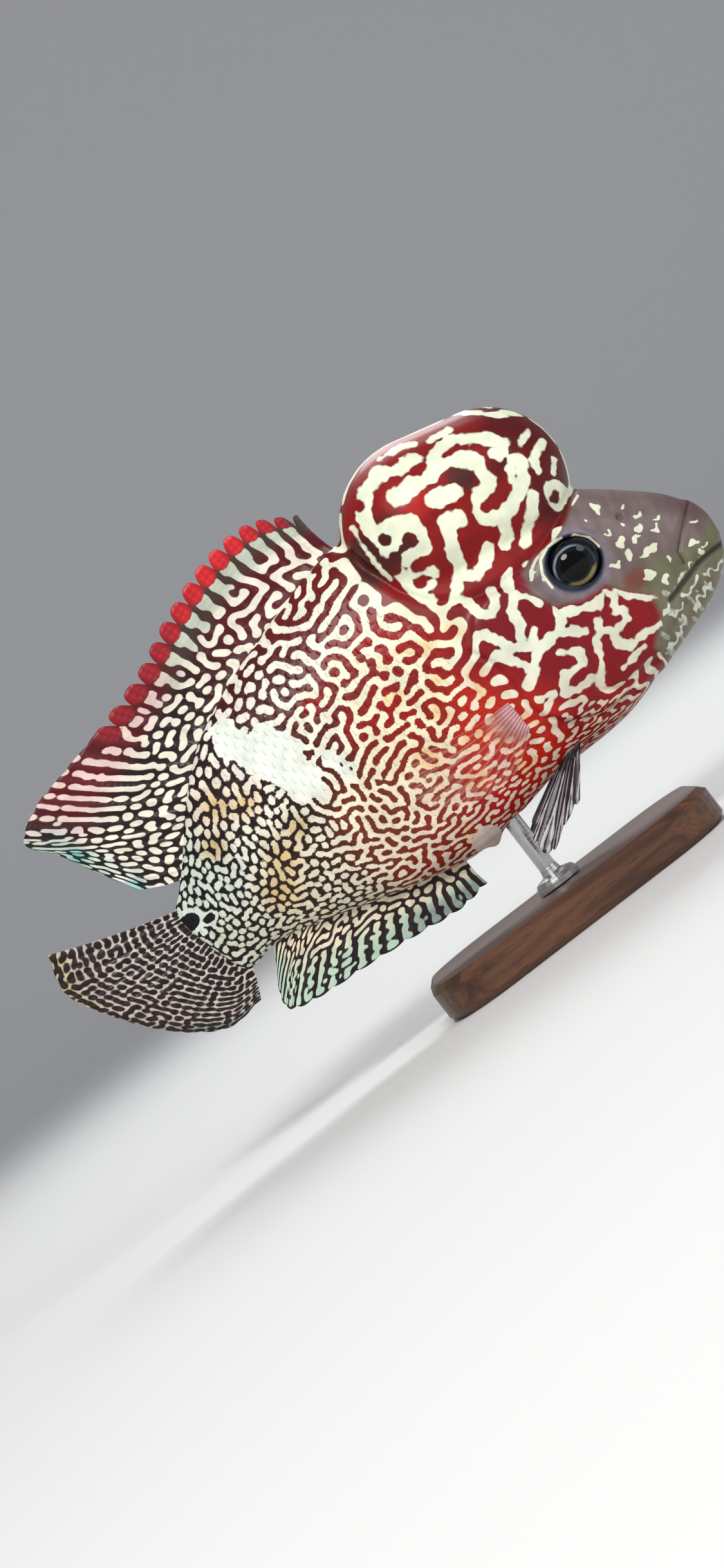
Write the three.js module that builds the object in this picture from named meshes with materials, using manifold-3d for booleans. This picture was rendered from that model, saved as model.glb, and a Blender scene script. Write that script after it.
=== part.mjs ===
// A life-size flowerhorn cichlid, swimming level on a plain display stand.
// Units are millimetres. +X runs to the fish's nose, +Y to its left side and +Z up.
// The origin is the middle of the stand's underside, below the rod.
import * as THREE from "three";
import { mergeVertices } from "three/addons/utils/BufferGeometryUtils.js";
import Module from "manifold-3d";

const wasm = await Module();
wasm.setup();

// The fish is drawn level, from the mouth to the middle of the tail, then lifted onto the stand.
const GAP = 0.3; // between neighbouring pieces
const BODY_LIFT = 41.5;
const ROD_X = 6; // where the rod enters the belly
const BODY_SHIFT = -ROD_X;
const FAR = 90; // past the fish on any side

// The trunk from the tail to the lips: a point of the back, the belly's point that faces it, the half width.
const STATIONS = [
  { back: [-50.6, 2.2], belly: [-46.4, -13.2], halfWidth: 1.7 },
  { back: [-47.6, 4.4], belly: [-43.8, -13.6], halfWidth: 2.5 },
  { back: [-42.0, 10.6], belly: [-39.4, -12.6], halfWidth: 3.9 },
  { back: [-36.0, 17.4], belly: [-33.0, -13.8], halfWidth: 5.5 },
  { back: [-29.0, 23.2], belly: [-26.0, -15.9], halfWidth: 7.0 },
  { back: [-20.5, 27.4], belly: [-18.0, -18.3], halfWidth: 8.5 },
  { back: [-11.0, 30.8], belly: [-9.5, -20.5], halfWidth: 9.7 },
  { back: [-1.0, 33.6], belly: [-1.0, -21.8], halfWidth: 10.6 },
  { back: [9.0, 35.8], belly: [8.0, -20.6], halfWidth: 11.3 },
  { back: [18.0, 34.6], belly: [16.5, -18.9], halfWidth: 11.8 },
  { back: [27.0, 31.2], belly: [25.0, -18.9], halfWidth: 12.0 },
  { back: [36.0, 26.8], belly: [33.5, -18.3], halfWidth: 11.5 },
  { back: [44.5, 21.6], belly: [40.5, -16.3], halfWidth: 10.4 },
  { back: [51.5, 16.6], belly: [46.5, -14.3], halfWidth: 9.0 },
  { back: [57.0, 12.0], belly: [52.0, -12.6], halfWidth: 7.6 },
  { back: [61.0, 8.2], belly: [56.6, -10.9], halfWidth: 6.2 },
  { back: [63.3, 4.6], belly: [60.6, -8.6], halfWidth: 4.7 },
  { back: [64.4, 1.6], belly: [62.9, -6.0], halfWidth: 3.0 },
];
const RINGS = 40;
const SIDES = 30;
const WIDEST_SHARE = 0.44; // how far up a section its widest level lies
const BELLY_POWER = 2.25; // 2 is an ellipse, more is fuller
const BACK_POWER = 1.7; // less than 2 runs up to a ridge
const HEAD_POWER = 2.1;
const TAIL_POWER = 2.0;
const NOSE_DOME = 0.7;

// The hump on the brow: a long ball whose axis slopes down to the nose.
const HUMP = { rear: [25.5, 29.2], rearRadius: 15.1, front: [37.2, 27.2], frontRadius: 14.4, flatness: 0.9 };
const HUMP_STEPS = 16;
const HUMP_SIDES = 28;

// Lines that part the fish, seen from the side in x and z.
const SHOULDER = [[11.2, 36], [14.2, 28], [16, 21], [17.8, 14], [19.4, 7], [19.8, 0], [19.5, -5],
  [20.4, -9.5], [23.5, -14.5], [26, -30]];
const STALK_FRONT = [[-36.5, 40], [-35.4, 16], [-33.6, -10], [-33, -40]];
const HUMP_LINE = [[9.4, FAR], [9.4, 37.6], [11.4, 34.5], [12, 28], [14.3, 22], [17.5, 17.3], [22, 14],
  [28, 12.6], [35, 13.0], [40, 14.5], [45, 16.4], [49.2, 18.6], [53, 19.6], [60, 20], [60, FAR]];
const GILL_COVER = [[18.4, 7], [21, 11], [25.5, 12.4], [30.6, 10.6], [33, 4], [33.2, -4], [30.6, -11],
  [26.5, -13.6], [21.6, -12], [18.9, -7.5], [18, -1]];
const LOWER_JAW = [[FAR, -4.6], [63, -4.9], [57, -5.3], [51.5, -7.2], [46, -9.6], [42.6, -13.2], [41.5, -24],
  [FAR, -24]];
const UPPER_LIP = [[FAR, -4.2], [63, -4.5], [57.2, -4.9], [55.4, -2], [58.4, 1.3], [61.8, 4.4], [66, 7],
  [FAR, 7]];
const GILL_COVER_RISE = 0.7;
const GILL_COVER_DEPTH = 1.2;
const LIP_RISE = 0.5;

// Eyes, nostrils and vent
const EYE = { x: 40.5, z: 7.9, radius: 4.7, bulge: 1.5, flatness: 0.62 };
const NOSTRIL = { x: 51.8, z: 9.6, radius: 0.6 };
const VENT = { x: 1.4, z: -20.9, radius: 1.7 };
const BELLY_AT_ROD = -20.8; // the belly's lowest level where the rod enters it

// Fins. A membrane has this thickness, the rays stand out of it and the root is fleshy.
const MEMBRANE = 0.52;
const RAY_AT_ROOT = 1.2;
const RAY_AT_TIP = 0.66;
const RAY_HALF_WIDTH = 0.17; // as a share of the way to the next ray
const FLESH = { thickness: 1.9, reach: 0.3 };
const PAIRED_FLESH = { thickness: 1.3, reach: 0.15 };

// Each fin is given by a few of its rays, foot then tip. The rays between them follow.
const SPINY_DORSAL = {
  rays: 15, rows: 3, notch: 2.2, bow: 0.045, flesh: FLESH,
  feet: [[10.4, 0, 34.4], [4, 0, 33.2], [-4, 0, 30.9], [-12, 0, 28.4], [-20, 0, 25.4], [-27.6, 0, 21.6]],
  tips: [[8.6, 0, 43.8], [0.5, 0, 47.9], [-9.2, 0, 47.3], [-19.6, 0, 43.8], [-29.8, 0, 39.0], [-41.6, 0, 35.2]],
};
const SOFT_DORSAL = {
  rays: 11, rows: 4, notch: 0, bow: 0.045, flesh: FLESH,
  feet: [[-27.9, 0, 21.3], [-32, 0, 18.4], [-35, 0, 15.6], [-37.6, 0, 12.8], [-40, 0, 10], [-42, 0, 7.8],
    [-44, 0, 5.6]],
  tips: [[-41.9, 0, 34.9], [-51, 0.5, 33], [-58, 0.9, 31.2], [-63.3, 1.2, 27.4], [-59.8, 1.0, 22.2],
    [-56.2, 0.7, 15.6], [-52.6, 0.4, 9.2]],
};
const ANAL = {
  rays: 15, rows: 3, notch: 0.3, bow: -0.05, flesh: FLESH,
  feet: [[-4.4, 0, -19.9], [-9, 0, -19], [-14, 0, -17.7], [-20, 0, -16], [-26, 0, -14], [-30.5, 0, -12.6],
    [-34, 0, -11.8], [-38.2, 0, -11]],
  tips: [[-3.9, 0, -26.6], [-10.4, 0, -27.4], [-19, 0, -26.4], [-29, 0, -25.4], [-38.5, 0.4, -24.7],
    [-44.2, 0.8, -23.2], [-43.8, 0.7, -19.4], [-41.4, 0.4, -15.6]],
};
const CAUDAL = {
  rays: 15, rows: 4, notch: 0, bow: 0.02, flesh: FLESH,
  feet: [[-47.6, 0, 1.8], [-48, 0, 0], [-47.8, 0, -2], [-47.4, 0, -4.2], [-46.8, 0, -6.4], [-46, 0, -8.4],
    [-45, 0, -10.2], [-44.2, 0, -11.6]],
  tips: [[-71.8, -1.6, 9.7], [-73.5, -1.9, 3.4], [-71.9, -1.8, -1.4], [-69.2, -1.6, -5.8],
    [-65.2, -1.3, -11.2], [-60.4, -1.0, -15.9], [-54.2, -0.6, -19.4], [-47.2, -0.2, -18.8]],
};
// Paired fins are given for the left side.
const PECTORAL = {
  rays: 12, rows: 3, notch: 0.2, bow: 0.04, flesh: PAIRED_FLESH,
  feet: [[17.2, 10.7, -4.0], [17.3, 10.7, -5.4], [17.4, 10.6, -6.8], [17.4, 10.5, -8.2], [17.5, 10.2, -9.6]],
  tips: [[-1.5, 14.4, -1.2], [-5.2, 14.8, -5.6], [-3.2, 14.8, -10.6], [3.4, 14.2, -14], [10.8, 13.2, -14.2]],
};
const PELVIC = {
  rays: 6, rows: 3, notch: 0.2, bow: 0, flesh: PAIRED_FLESH,
  feet: [[23.4, 5.2, -16.6], [22.4, 5.0, -16.6], [21.4, 4.8, -16.8], [20.4, 4.6, -17.0], [19.4, 4.4, -17.2]],
  tips: [[17.0, 7.6, -24.6], [12.4, 8.4, -26.4], [7.6, 8.6, -28.9], [6.4, 7.4, -25.6], [9.2, 6.2, -22.8]],
};

// Stand
const BASE = { length: 58, width: 44, height: 7, corner: 11, bevel: 1.2 };
const ROD = { radius: 1.6, socket: 2.8, footRadius: 4.2, footHeight: 1.8 };

const lerp = (a, b, share) => a + (b - a) * share;
const smooth = (low, high, value) => THREE.MathUtils.smoothstep(value, low, high);

// A closed solid from flat lists of coordinates and triangle corners, turned right side out.
function closedSolid(coordinates, triangles) {
  const build = (corners) => new wasm.Manifold(new wasm.Mesh({
    numProp: 3,
    vertProperties: new Float32Array(coordinates),
    triVerts: new Uint32Array(corners),
  }));
  const solid = build(triangles);
  return solid.volume() > 0 ? solid : build([...triangles].reverse());
}

// The same from a three.js geometry, whose vertices are merged first.
function solidOf(geometry) {
  const plain = geometry.clone();
  plain.deleteAttribute("normal");
  plain.deleteAttribute("uv");
  const merged = mergeVertices(plain, 1e-4);
  return closedSolid(merged.attributes.position.array, merged.index.array);
}

// The largest closed body of a solid, so that a cut leaves no loose scrap.
function largestOf(solid) {
  return solid.decompose().reduce((best, body) => (body.volume() > best.volume() ? body : best));
}

// A side outline, drawn in x and z, pushed through the fish from one y to another.
function throughFish(outline, from = -FAR, to = FAR) {
  const shape = new THREE.Shape(outline.map(([x, z]) => new THREE.Vector2(x, z)));
  const geometry = new THREE.ExtrudeGeometry(shape, { depth: to - from, bevelEnabled: false });
  geometry.rotateX(Math.PI / 2);
  geometry.translate(0, to, 0);
  return solidOf(geometry);
}

// An outline moved outward by a distance, each corner along the bisector of its two edges.
function grownOutline(outline, distance) {
  const points = outline.map(([x, z]) => new THREE.Vector2(x, z));
  const outward = -Math.sign(THREE.ShapeUtils.area(points));
  const normals = points.map((point, i) => {
    const edge = points[(i + 1) % points.length].clone().sub(point).normalize();
    return new THREE.Vector2(-edge.y, edge.x).multiplyScalar(outward);
  });
  return points.map((point, i) => {
    const before = normals[(i + points.length - 1) % points.length];
    const bisector = before.clone().add(normals[i]).divideScalar(1 + before.dot(normals[i]));
    return point.clone().addScaledVector(bisector, distance).toArray();
  });
}

// The half space in front of or behind a line that runs from top to bottom.
function frontOf(line) {
  const top = [line[0][0], FAR];
  const foot = [line[line.length - 1][0], -FAR];
  return throughFish([[2 * FAR, FAR], top, ...line, foot, [2 * FAR, -FAR]]);
}

function behind(line) {
  const moved = line.map(([x, z]) => [x - GAP, z]);
  const top = [moved[0][0], FAR];
  const foot = [moved[moved.length - 1][0], -FAR];
  return throughFish([[-2 * FAR, FAR], top, ...moved, foot, [-2 * FAR, -FAR]]);
}

// A smooth curve through a column of numbers, read at 0 to 1.
function curveThrough(values) {
  const curve = new THREE.SplineCurve(values.map((value, i) => new THREE.Vector2(i, value)));
  return (share) => curve.getPoint(share).y;
}

const backX = curveThrough(STATIONS.map((station) => station.back[0]));
const backZ = curveThrough(STATIONS.map((station) => station.back[1]));
const bellyX = curveThrough(STATIONS.map((station) => station.belly[0]));
const bellyZ = curveThrough(STATIONS.map((station) => station.belly[1]));
const halfWidth = curveThrough(STATIONS.map((station) => station.halfWidth));

// How sharply the back is ridged: round on the head and the tail stalk, and ridged between them.
function backPower(share) {
  const onHead = lerp(BACK_POWER, HEAD_POWER, smooth(0.5, 0.72, share));
  return lerp(TAIL_POWER, onHead, smooth(0.05, 0.3, share));
}

// A point of the skin. share runs from the tail to the lips, turn goes round the section from the left side up.
function skinPoint(share, turn) {
  const across = Math.cos(turn);
  const up = Math.sin(turn);
  const power = 2 / (up > 0 ? backPower(share) : BELLY_POWER);
  const level = up > 0
    ? WIDEST_SHARE + (1 - WIDEST_SHARE) * up ** power
    : WIDEST_SHARE * (1 - (-up) ** power);
  const y = halfWidth(share) * Math.sign(across) * Math.abs(across) ** power;
  return new THREE.Vector3(
    lerp(bellyX(share), backX(share), level), y, lerp(bellyZ(share), backZ(share), level));
}

// The whole trunk without hump or fins, its skin moved outward by some millimetres.
function trunk(grow = 0) {
  const coordinates = [];
  const triangles = [];
  for (let ring = 0; ring <= RINGS; ring++) {
    for (let side = 0; side < SIDES; side++) {
      coordinates.push(...skinPoint(ring / RINGS, (side / SIDES) * 2 * Math.PI).toArray());
    }
  }
  for (let ring = 0; ring < RINGS; ring++) {
    for (let side = 0; side < SIDES; side++) {
      const a = ring * SIDES + side;
      const b = ring * SIDES + ((side + 1) % SIDES);
      triangles.push(a, b, a + SIDES, b, b + SIDES, a + SIDES);
    }
  }
  for (const [ring, dome] of [[0, -NOSE_DOME], [RINGS, NOSE_DOME]]) {
    const first = ring * SIDES;
    const middle = coordinates.length / 3;
    const centre = new THREE.Vector3();
    for (let side = 0; side < SIDES; side++) {
      centre.add(new THREE.Vector3().fromArray(coordinates, (first + side) * 3));
    }
    centre.divideScalar(SIDES);
    coordinates.push(centre.x + dome, centre.y, centre.z);
    for (let side = 0; side < SIDES; side++) {
      const a = first + side;
      const b = first + ((side + 1) % SIDES);
      triangles.push(...(ring > 0 ? [a, b, middle] : [b, a, middle]));
    }
  }
  const geometry = new THREE.BufferGeometry();
  geometry.setAttribute("position", new THREE.Float32BufferAttribute(coordinates, 3));
  geometry.setIndex(triangles);
  geometry.computeVertexNormals();
  const normals = geometry.attributes.normal.array;
  return closedSolid(coordinates.map((value, i) => value + normals[i] * grow), triangles);
}

// The hump: a turned profile of two balls and the cone between them, laid along its sloping axis.
function hump(grow = 0) {
  const axis = new THREE.Vector2(HUMP.front[0] - HUMP.rear[0], HUMP.front[1] - HUMP.rear[1]);
  const profile = [];
  for (let i = 0; i <= HUMP_STEPS; i++) {
    const angle = (i / HUMP_STEPS) * Math.PI;
    const onRear = i <= HUMP_STEPS / 2;
    const radius = (onRear ? HUMP.rearRadius : HUMP.frontRadius) + grow;
    const along = (onRear ? 0 : axis.length()) - radius * Math.cos(angle);
    profile.push(new THREE.Vector2(i % HUMP_STEPS === 0 ? 0 : radius * Math.sin(angle), along));
  }
  const geometry = new THREE.LatheGeometry(profile, HUMP_SIDES);
  geometry.rotateX(Math.PI / 2);
  geometry.rotateY(Math.PI / 2 - Math.atan2(axis.y, axis.x));
  geometry.scale(1, HUMP.flatness, 1);
  geometry.translate(HUMP.rear[0], 0, HUMP.rear[1]);
  return solidOf(geometry);
}

// How far from the middle plane the skin lies at a side view's x and z, by a search over the flank.
function flankAt(x, z) {
  const steps = 240;
  let best = { miss: Infinity, y: 0 };
  for (let i = 0; i <= steps; i++) {
    for (let j = 0; j <= steps; j++) {
      const point = skinPoint(i / steps, ((j / steps) - 0.5) * Math.PI);
      const miss = Math.hypot(point.x - x, point.z - z);
      if (miss < best.miss) {
        best = { miss, y: point.y };
      }
    }
  }
  return best.y;
}

function ellipsoid(centre, radii, across = 18, down = 10) {
  const geometry = new THREE.SphereGeometry(1, across, down);
  geometry.scale(...radii);
  geometry.translate(...centre);
  return solidOf(geometry);
}

function eyeball(side, grow = 0) {
  const depth = EYE.radius * EYE.flatness;
  const y = flankAt(EYE.x, EYE.z) - depth + EYE.bulge;
  const radii = [EYE.radius + grow, depth + grow, EYE.radius * 0.92 + grow];
  return ellipsoid([EYE.x, side * y, EYE.z], radii);
}

function nostril(side) {
  const y = flankAt(NOSTRIL.x, NOSTRIL.z);
  return ellipsoid([NOSTRIL.x, side * y, NOSTRIL.z], [NOSTRIL.radius, NOSTRIL.radius, NOSTRIL.radius], 10, 6);
}

// The thickness of a fin at a share of its height, on a ray or between two.
function finThickness(spec, share, onRay) {
  const fine = onRay ? lerp(RAY_AT_ROOT, RAY_AT_TIP, share) : MEMBRANE;
  return Math.max(fine, lerp(spec.flesh.thickness, fine, smooth(0, spec.flesh.reach, share)));
}

// A fin: a grid, alike on both faces, whose columns are each ray's two feet and crest and the membrane's middle.
function fin(spec, side = 1) {
  const place = (list) => new THREE.CatmullRomCurve3(
    list.map(([x, y, z]) => new THREE.Vector3(x, side * y, z)), false, "centripetal");
  const feet = place(spec.feet);
  const tips = place(spec.tips);
  const columns = [];
  for (let ray = 0; ray < spec.rays; ray++) {
    for (const offset of [-RAY_HALF_WIDTH, 0, RAY_HALF_WIDTH, 0.5]) {
      const last = ray === spec.rays - 1;
      if ((ray > 0 || offset >= 0) && !(last && offset > 0)) {
        columns.push({ share: (ray + offset) / (spec.rays - 1), onRay: offset === 0, between: offset === 0.5 });
      }
    }
  }
  const coordinates = [];
  const rows = spec.rows + 1;
  for (const face of [1, -1]) {
    for (const column of columns) {
      const foot = feet.getPoint(column.share);
      const tip = tips.getPoint(column.share);
      const along = tip.clone().sub(foot);
      const bend = new THREE.Vector3(-along.z, 0, along.x).multiplyScalar(spec.bow);
      const reach = column.between ? 1 - spec.notch / along.length() : 1;
      for (let row = 0; row < rows; row++) {
        const share = (row / spec.rows) * reach;
        const point = foot.clone().addScaledVector(along, share).addScaledVector(bend, 4 * share * (1 - share));
        const thickness = finThickness(spec, share, column.onRay);
        coordinates.push(point.x, point.y + (face * thickness) / 2, point.z);
      }
    }
  }
  const back = columns.length * rows;
  const triangles = [];
  for (let c = 0; c + 1 < columns.length; c++) {
    for (let row = 0; row < spec.rows; row++) {
      const a = c * rows + row;
      const b = a + rows;
      triangles.push(a, b, a + 1, b, b + 1, a + 1);
      triangles.push(back + a, back + a + 1, back + b, back + b, back + a + 1, back + b + 1);
    }
  }
  const rim = [];
  for (let c = 0; c < columns.length; c++) rim.push(c * rows);
  for (let row = 1; row < rows; row++) rim.push((columns.length - 1) * rows + row);
  for (let c = columns.length - 2; c >= 0; c--) rim.push(c * rows + rows - 1);
  for (let row = rows - 2; row > 0; row--) rim.push(row);
  rim.forEach((a, i) => {
    const b = rim[(i + 1) % rim.length];
    triangles.push(a, back + a, b, b, back + a, back + b);
  });
  return closedSolid(coordinates, triangles);
}

// The base: a rounded slab with a bevelled upper and lower edge.
function standBase() {
  const halfLength = BASE.length / 2 - BASE.bevel;
  const halfWidthOfBase = BASE.width / 2 - BASE.bevel;
  const corner = BASE.corner;
  const shape = new THREE.Shape();
  shape.moveTo(-halfLength + corner, -halfWidthOfBase);
  shape.lineTo(halfLength - corner, -halfWidthOfBase);
  shape.absarc(halfLength - corner, -halfWidthOfBase + corner, corner, -Math.PI / 2, 0);
  shape.absarc(halfLength - corner, halfWidthOfBase - corner, corner, 0, Math.PI / 2);
  shape.absarc(-halfLength + corner, halfWidthOfBase - corner, corner, Math.PI / 2, Math.PI);
  shape.absarc(-halfLength + corner, -halfWidthOfBase + corner, corner, Math.PI, 1.5 * Math.PI);
  const geometry = new THREE.ExtrudeGeometry(shape, {
    depth: BASE.height - 2 * BASE.bevel, bevelThickness: BASE.bevel, bevelSize: BASE.bevel,
    bevelSegments: 1, curveSegments: 5,
  });
  geometry.translate(0, 0, BASE.bevel);
  return solidOf(geometry);
}

// The rod: a turned profile with a flared foot, which ends just below the roof of its socket in the belly.
function standRod() {
  const chamfer = 0.3;
  const foot = BASE.height + GAP;
  const top = BODY_LIFT + BELLY_AT_ROD + ROD.socket - GAP;
  const profile = [
    [0, foot], [ROD.footRadius, foot], [ROD.footRadius, foot + ROD.footHeight * 0.5],
    [ROD.footRadius * 0.86, foot + ROD.footHeight], [ROD.radius * 1.15, foot + ROD.footHeight * 1.3],
    [ROD.radius, foot + ROD.footHeight * 2], [ROD.radius, top - chamfer], [ROD.radius - chamfer, top], [0, top],
  ];
  const geometry = new THREE.LatheGeometry(profile.map(([r, z]) => new THREE.Vector2(r, z)), 20);
  geometry.rotateX(Math.PI / 2);
  return solidOf(geometry);
}

// The hole in the belly that the rod stands in.
function rodSocket() {
  const length = 20;
  const geometry = new THREE.CylinderGeometry(ROD.radius + GAP, ROD.radius + GAP, length, 20);
  geometry.rotateX(Math.PI / 2);
  geometry.translate(ROD_X, 0, BELLY_AT_ROD + ROD.socket - length / 2);
  return solidOf(geometry);
}

// The whole fish in one, and then the pieces that thin cuts part it into.
const plainTrunk = trunk();
const grownTrunk = trunk(GAP).add(hump(GAP));
const whole = plainTrunk.add(hump());
const humpSpace = throughFish(HUMP_LINE);
const humpCut = throughFish(grownOutline(HUMP_LINE, GAP));
const coverFloor = trunk(-GILL_COVER_DEPTH);
const coverPocket = throughFish(grownOutline(GILL_COVER, GAP)).subtract(trunk(-GILL_COVER_DEPTH - GAP));
const front = frontOf(SHOULDER);

function gillCover(from, to) {
  return trunk(GILL_COVER_RISE).intersect(throughFish(GILL_COVER, from, to)).subtract(coverFloor);
}

function headSolid() {
  return whole.intersect(front)
    .subtract(humpCut)
    .subtract(throughFish(grownOutline(LOWER_JAW, GAP)))
    .subtract(throughFish(grownOutline(UPPER_LIP, GAP)))
    .subtract(coverPocket)
    .subtract(eyeball(1, GAP)).subtract(eyeball(-1, GAP))
    .subtract(nostril(1)).subtract(nostril(-1));
}

function torsoSolid() {
  return whole.intersect(behind(SHOULDER))
    .subtract(behindStalk(0))
    .subtract(humpCut)
    .add(ellipsoid([VENT.x, 0, VENT.z], [VENT.radius, VENT.radius, VENT.radius * 1.1], 12, 8))
    .subtract(coverPocket)
    .subtract(rodSocket());
}

// Everything behind the front of the tail stalk, moved forward by a gap.
function behindStalk(forward) {
  return behind(STALK_FRONT.map(([x, z]) => [x + forward + GAP, z]));
}

const solids = {
  head: headSolid(),
  nuchal_hump: whole.intersect(humpSpace),
  upper_lip: trunk(LIP_RISE).intersect(throughFish(UPPER_LIP)),
  lower_jaw: trunk(LIP_RISE * 0.6).intersect(throughFish(LOWER_JAW)),
  gill_cover_left: gillCover(GAP, FAR),
  gill_cover_right: gillCover(-FAR, -GAP),
  torso: torsoSolid(),
  tail_stalk: whole.intersect(behindStalk(-GAP)),
  eye_left: eyeball(1),
  eye_right: eyeball(-1),
};

const fins = {
  dorsal_fin_spiny: fin(SPINY_DORSAL),
  dorsal_fin_soft: fin(SOFT_DORSAL),
  anal_fin: fin(ANAL),
  caudal_fin: fin(CAUDAL),
  pectoral_fin_left: fin(PECTORAL, 1),
  pectoral_fin_right: fin(PECTORAL, -1),
  pelvic_fin_left: fin(PELVIC, 1),
  pelvic_fin_right: fin(PELVIC, -1),
};
for (const [name, solid] of Object.entries(fins)) {
  solids[name] = solid.subtract(grownTrunk);
}

const SKIN = { color: 0x8c2a22, roughness: 0.38, metalness: 0 };
const FIN_SKIN = { color: 0x7a5a4a, roughness: 0.45, metalness: 0 };
const LOOKS = {
  head: { ...SKIN, color: 0xa02a30 },
  nuchal_hump: { ...SKIN, color: 0xb8402c },
  upper_lip: { ...SKIN, color: 0x9a8f80 },
  lower_jaw: { ...SKIN, color: 0xa8a284 },
  eye_left: { color: 0x151a22, roughness: 0.1, metalness: 0 },
  eye_right: { color: 0x151a22, roughness: 0.1, metalness: 0 },
  dorsal_fin_spiny: { ...FIN_SKIN, color: 0x8a2a24 },
  dorsal_fin_soft: FIN_SKIN,
  anal_fin: FIN_SKIN,
  caudal_fin: FIN_SKIN,
  pectoral_fin_left: { ...FIN_SKIN, color: 0xc8a8a0 },
  pectoral_fin_right: { ...FIN_SKIN, color: 0xc8a8a0 },
  pelvic_fin_left: FIN_SKIN,
  pelvic_fin_right: FIN_SKIN,
};

function meshOf(name, solid, look) {
  const { vertProperties, triVerts } = largestOf(solid).getMesh();
  const geometry = new THREE.BufferGeometry();
  geometry.setAttribute("position", new THREE.BufferAttribute(Float32Array.from(vertProperties), 3));
  geometry.setIndex(new THREE.BufferAttribute(Uint32Array.from(triVerts), 1));
  geometry.computeVertexNormals();
  const mesh = new THREE.Mesh(geometry, new THREE.MeshStandardMaterial(look));
  mesh.name = name;
  return mesh;
}

const model = new THREE.Group();
const fish = new THREE.Group();
fish.position.set(BODY_SHIFT, 0, BODY_LIFT);
for (const [name, solid] of Object.entries(solids)) {
  fish.add(meshOf(name, solid, LOOKS[name] ?? SKIN));
}
model.add(fish);
model.add(meshOf("stand_base", standBase(), { color: 0x4a2c1c, roughness: 0.4, metalness: 0 }));
model.add(meshOf("stand_rod", standRod(), { color: 0xb8bcc0, roughness: 0.3, metalness: 1 }));

export default model;
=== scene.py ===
# Looks of the flowerhorn cichlid on its stand: skin with a labyrinth of marks, scales, ray fins, wet eyes.
import math

import bmesh
import bpy
import numpy as np
from mathutils import Matrix, Vector
from mathutils.bvhtree import BVHTree


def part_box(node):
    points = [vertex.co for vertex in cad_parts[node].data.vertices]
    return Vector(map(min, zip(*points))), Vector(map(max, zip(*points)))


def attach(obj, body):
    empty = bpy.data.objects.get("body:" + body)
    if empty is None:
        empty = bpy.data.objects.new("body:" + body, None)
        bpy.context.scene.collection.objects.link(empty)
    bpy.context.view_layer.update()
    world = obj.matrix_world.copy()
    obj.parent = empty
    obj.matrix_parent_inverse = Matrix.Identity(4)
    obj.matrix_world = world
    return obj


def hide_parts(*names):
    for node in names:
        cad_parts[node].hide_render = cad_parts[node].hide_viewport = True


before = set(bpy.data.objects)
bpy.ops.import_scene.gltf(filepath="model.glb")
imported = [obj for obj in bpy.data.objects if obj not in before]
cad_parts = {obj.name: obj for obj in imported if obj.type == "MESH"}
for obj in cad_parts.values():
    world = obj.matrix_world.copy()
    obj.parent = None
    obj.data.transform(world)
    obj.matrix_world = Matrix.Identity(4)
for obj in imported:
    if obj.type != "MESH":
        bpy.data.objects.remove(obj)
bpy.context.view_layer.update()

# Shapes are worked out in the fish's own millimetres: +X to the nose, +Z up, level from mouth to tail.
ROD_X = 6.0
BODY_LIFT = 41.5
MM = 0.001
SEED = 11

FLESH = (
    "head", "nuchal_hump", "upper_lip", "lower_jaw", "gill_cover_left", "gill_cover_right", "torso",
    "tail_stalk",
)
INFLATE = 0.2  # closes the thin cuts between the parts of the body
VOXEL = 0.28
SMOOTH_STEPS = 34

HUMP_REAR = np.array([25.5, 29.2])
HUMP_FRONT = np.array([37.2, 27.2])
HUMP_REAR_RADIUS = 15.1
HUMP_FRONT_RADIUS = 14.4
EYE_AT = (40.5, 7.9)
EYE_TALL = 1.06  # the rings round the eye are a little wider than high
VENT = (0.6, -20.6)
VENT_TALL = 1.1


def to_row(points):
    """Fish millimetres to the row frame's metres."""
    return (np.asarray(points, float) + [-ROD_X, 0.0, BODY_LIFT]) * MM


def to_fish(points):
    """The row frame's metres to fish millimetres."""
    return np.asarray(points, float) / MM - [-ROD_X, 0.0, BODY_LIFT]


def fade(low, high, value):
    share = np.clip((value - low) / (high - low), 0.0, 1.0)
    return share * share * (3 - 2 * share)


def mix(a, b, share):
    a, b, share = (np.asarray(value, float) for value in (a, b, share))
    if share.ndim and (a.shape[-1:] == (3,) or b.shape[-1:] == (3,)):
        share = share[..., None]
    return a * (1 - share) + b * share


def rgb(red, green, blue):
    """A display colour of 0 to 255 as the linear colour that shaders use."""
    value = np.array([red, green, blue]) / 255.0
    return np.where(value <= 0.04045, value / 12.92, ((value + 0.055) / 1.055) ** 2.4)


def layered(colour, *layers):
    """A colour with others laid over it in turn, each given as display colour and share."""
    for tint, share in layers:
        colour = mix(colour, rgb(*tint), share)
    return colour


def apart(x, z, place, tall=1.0):
    """How far each point is from a place in the side view, with its height counted tall times."""
    return np.hypot(x - place[0], (z - place[1]) * tall)


def line_distance(x, z, line):
    """How far each point is from a line of [x, z] points in the side view."""
    best = np.full(len(x), 1e9)
    for (x0, z0), (x1, z1) in zip(line[:-1], line[1:]):
        dx, dz = x1 - x0, z1 - z0
        share = np.clip(((x - x0) * dx + (z - z0) * dz) / (dx * dx + dz * dz + 1e-9), 0, 1)
        best = np.minimum(best, np.hypot(x - x0 - share * dx, z - z0 - share * dz))
    return best


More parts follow.
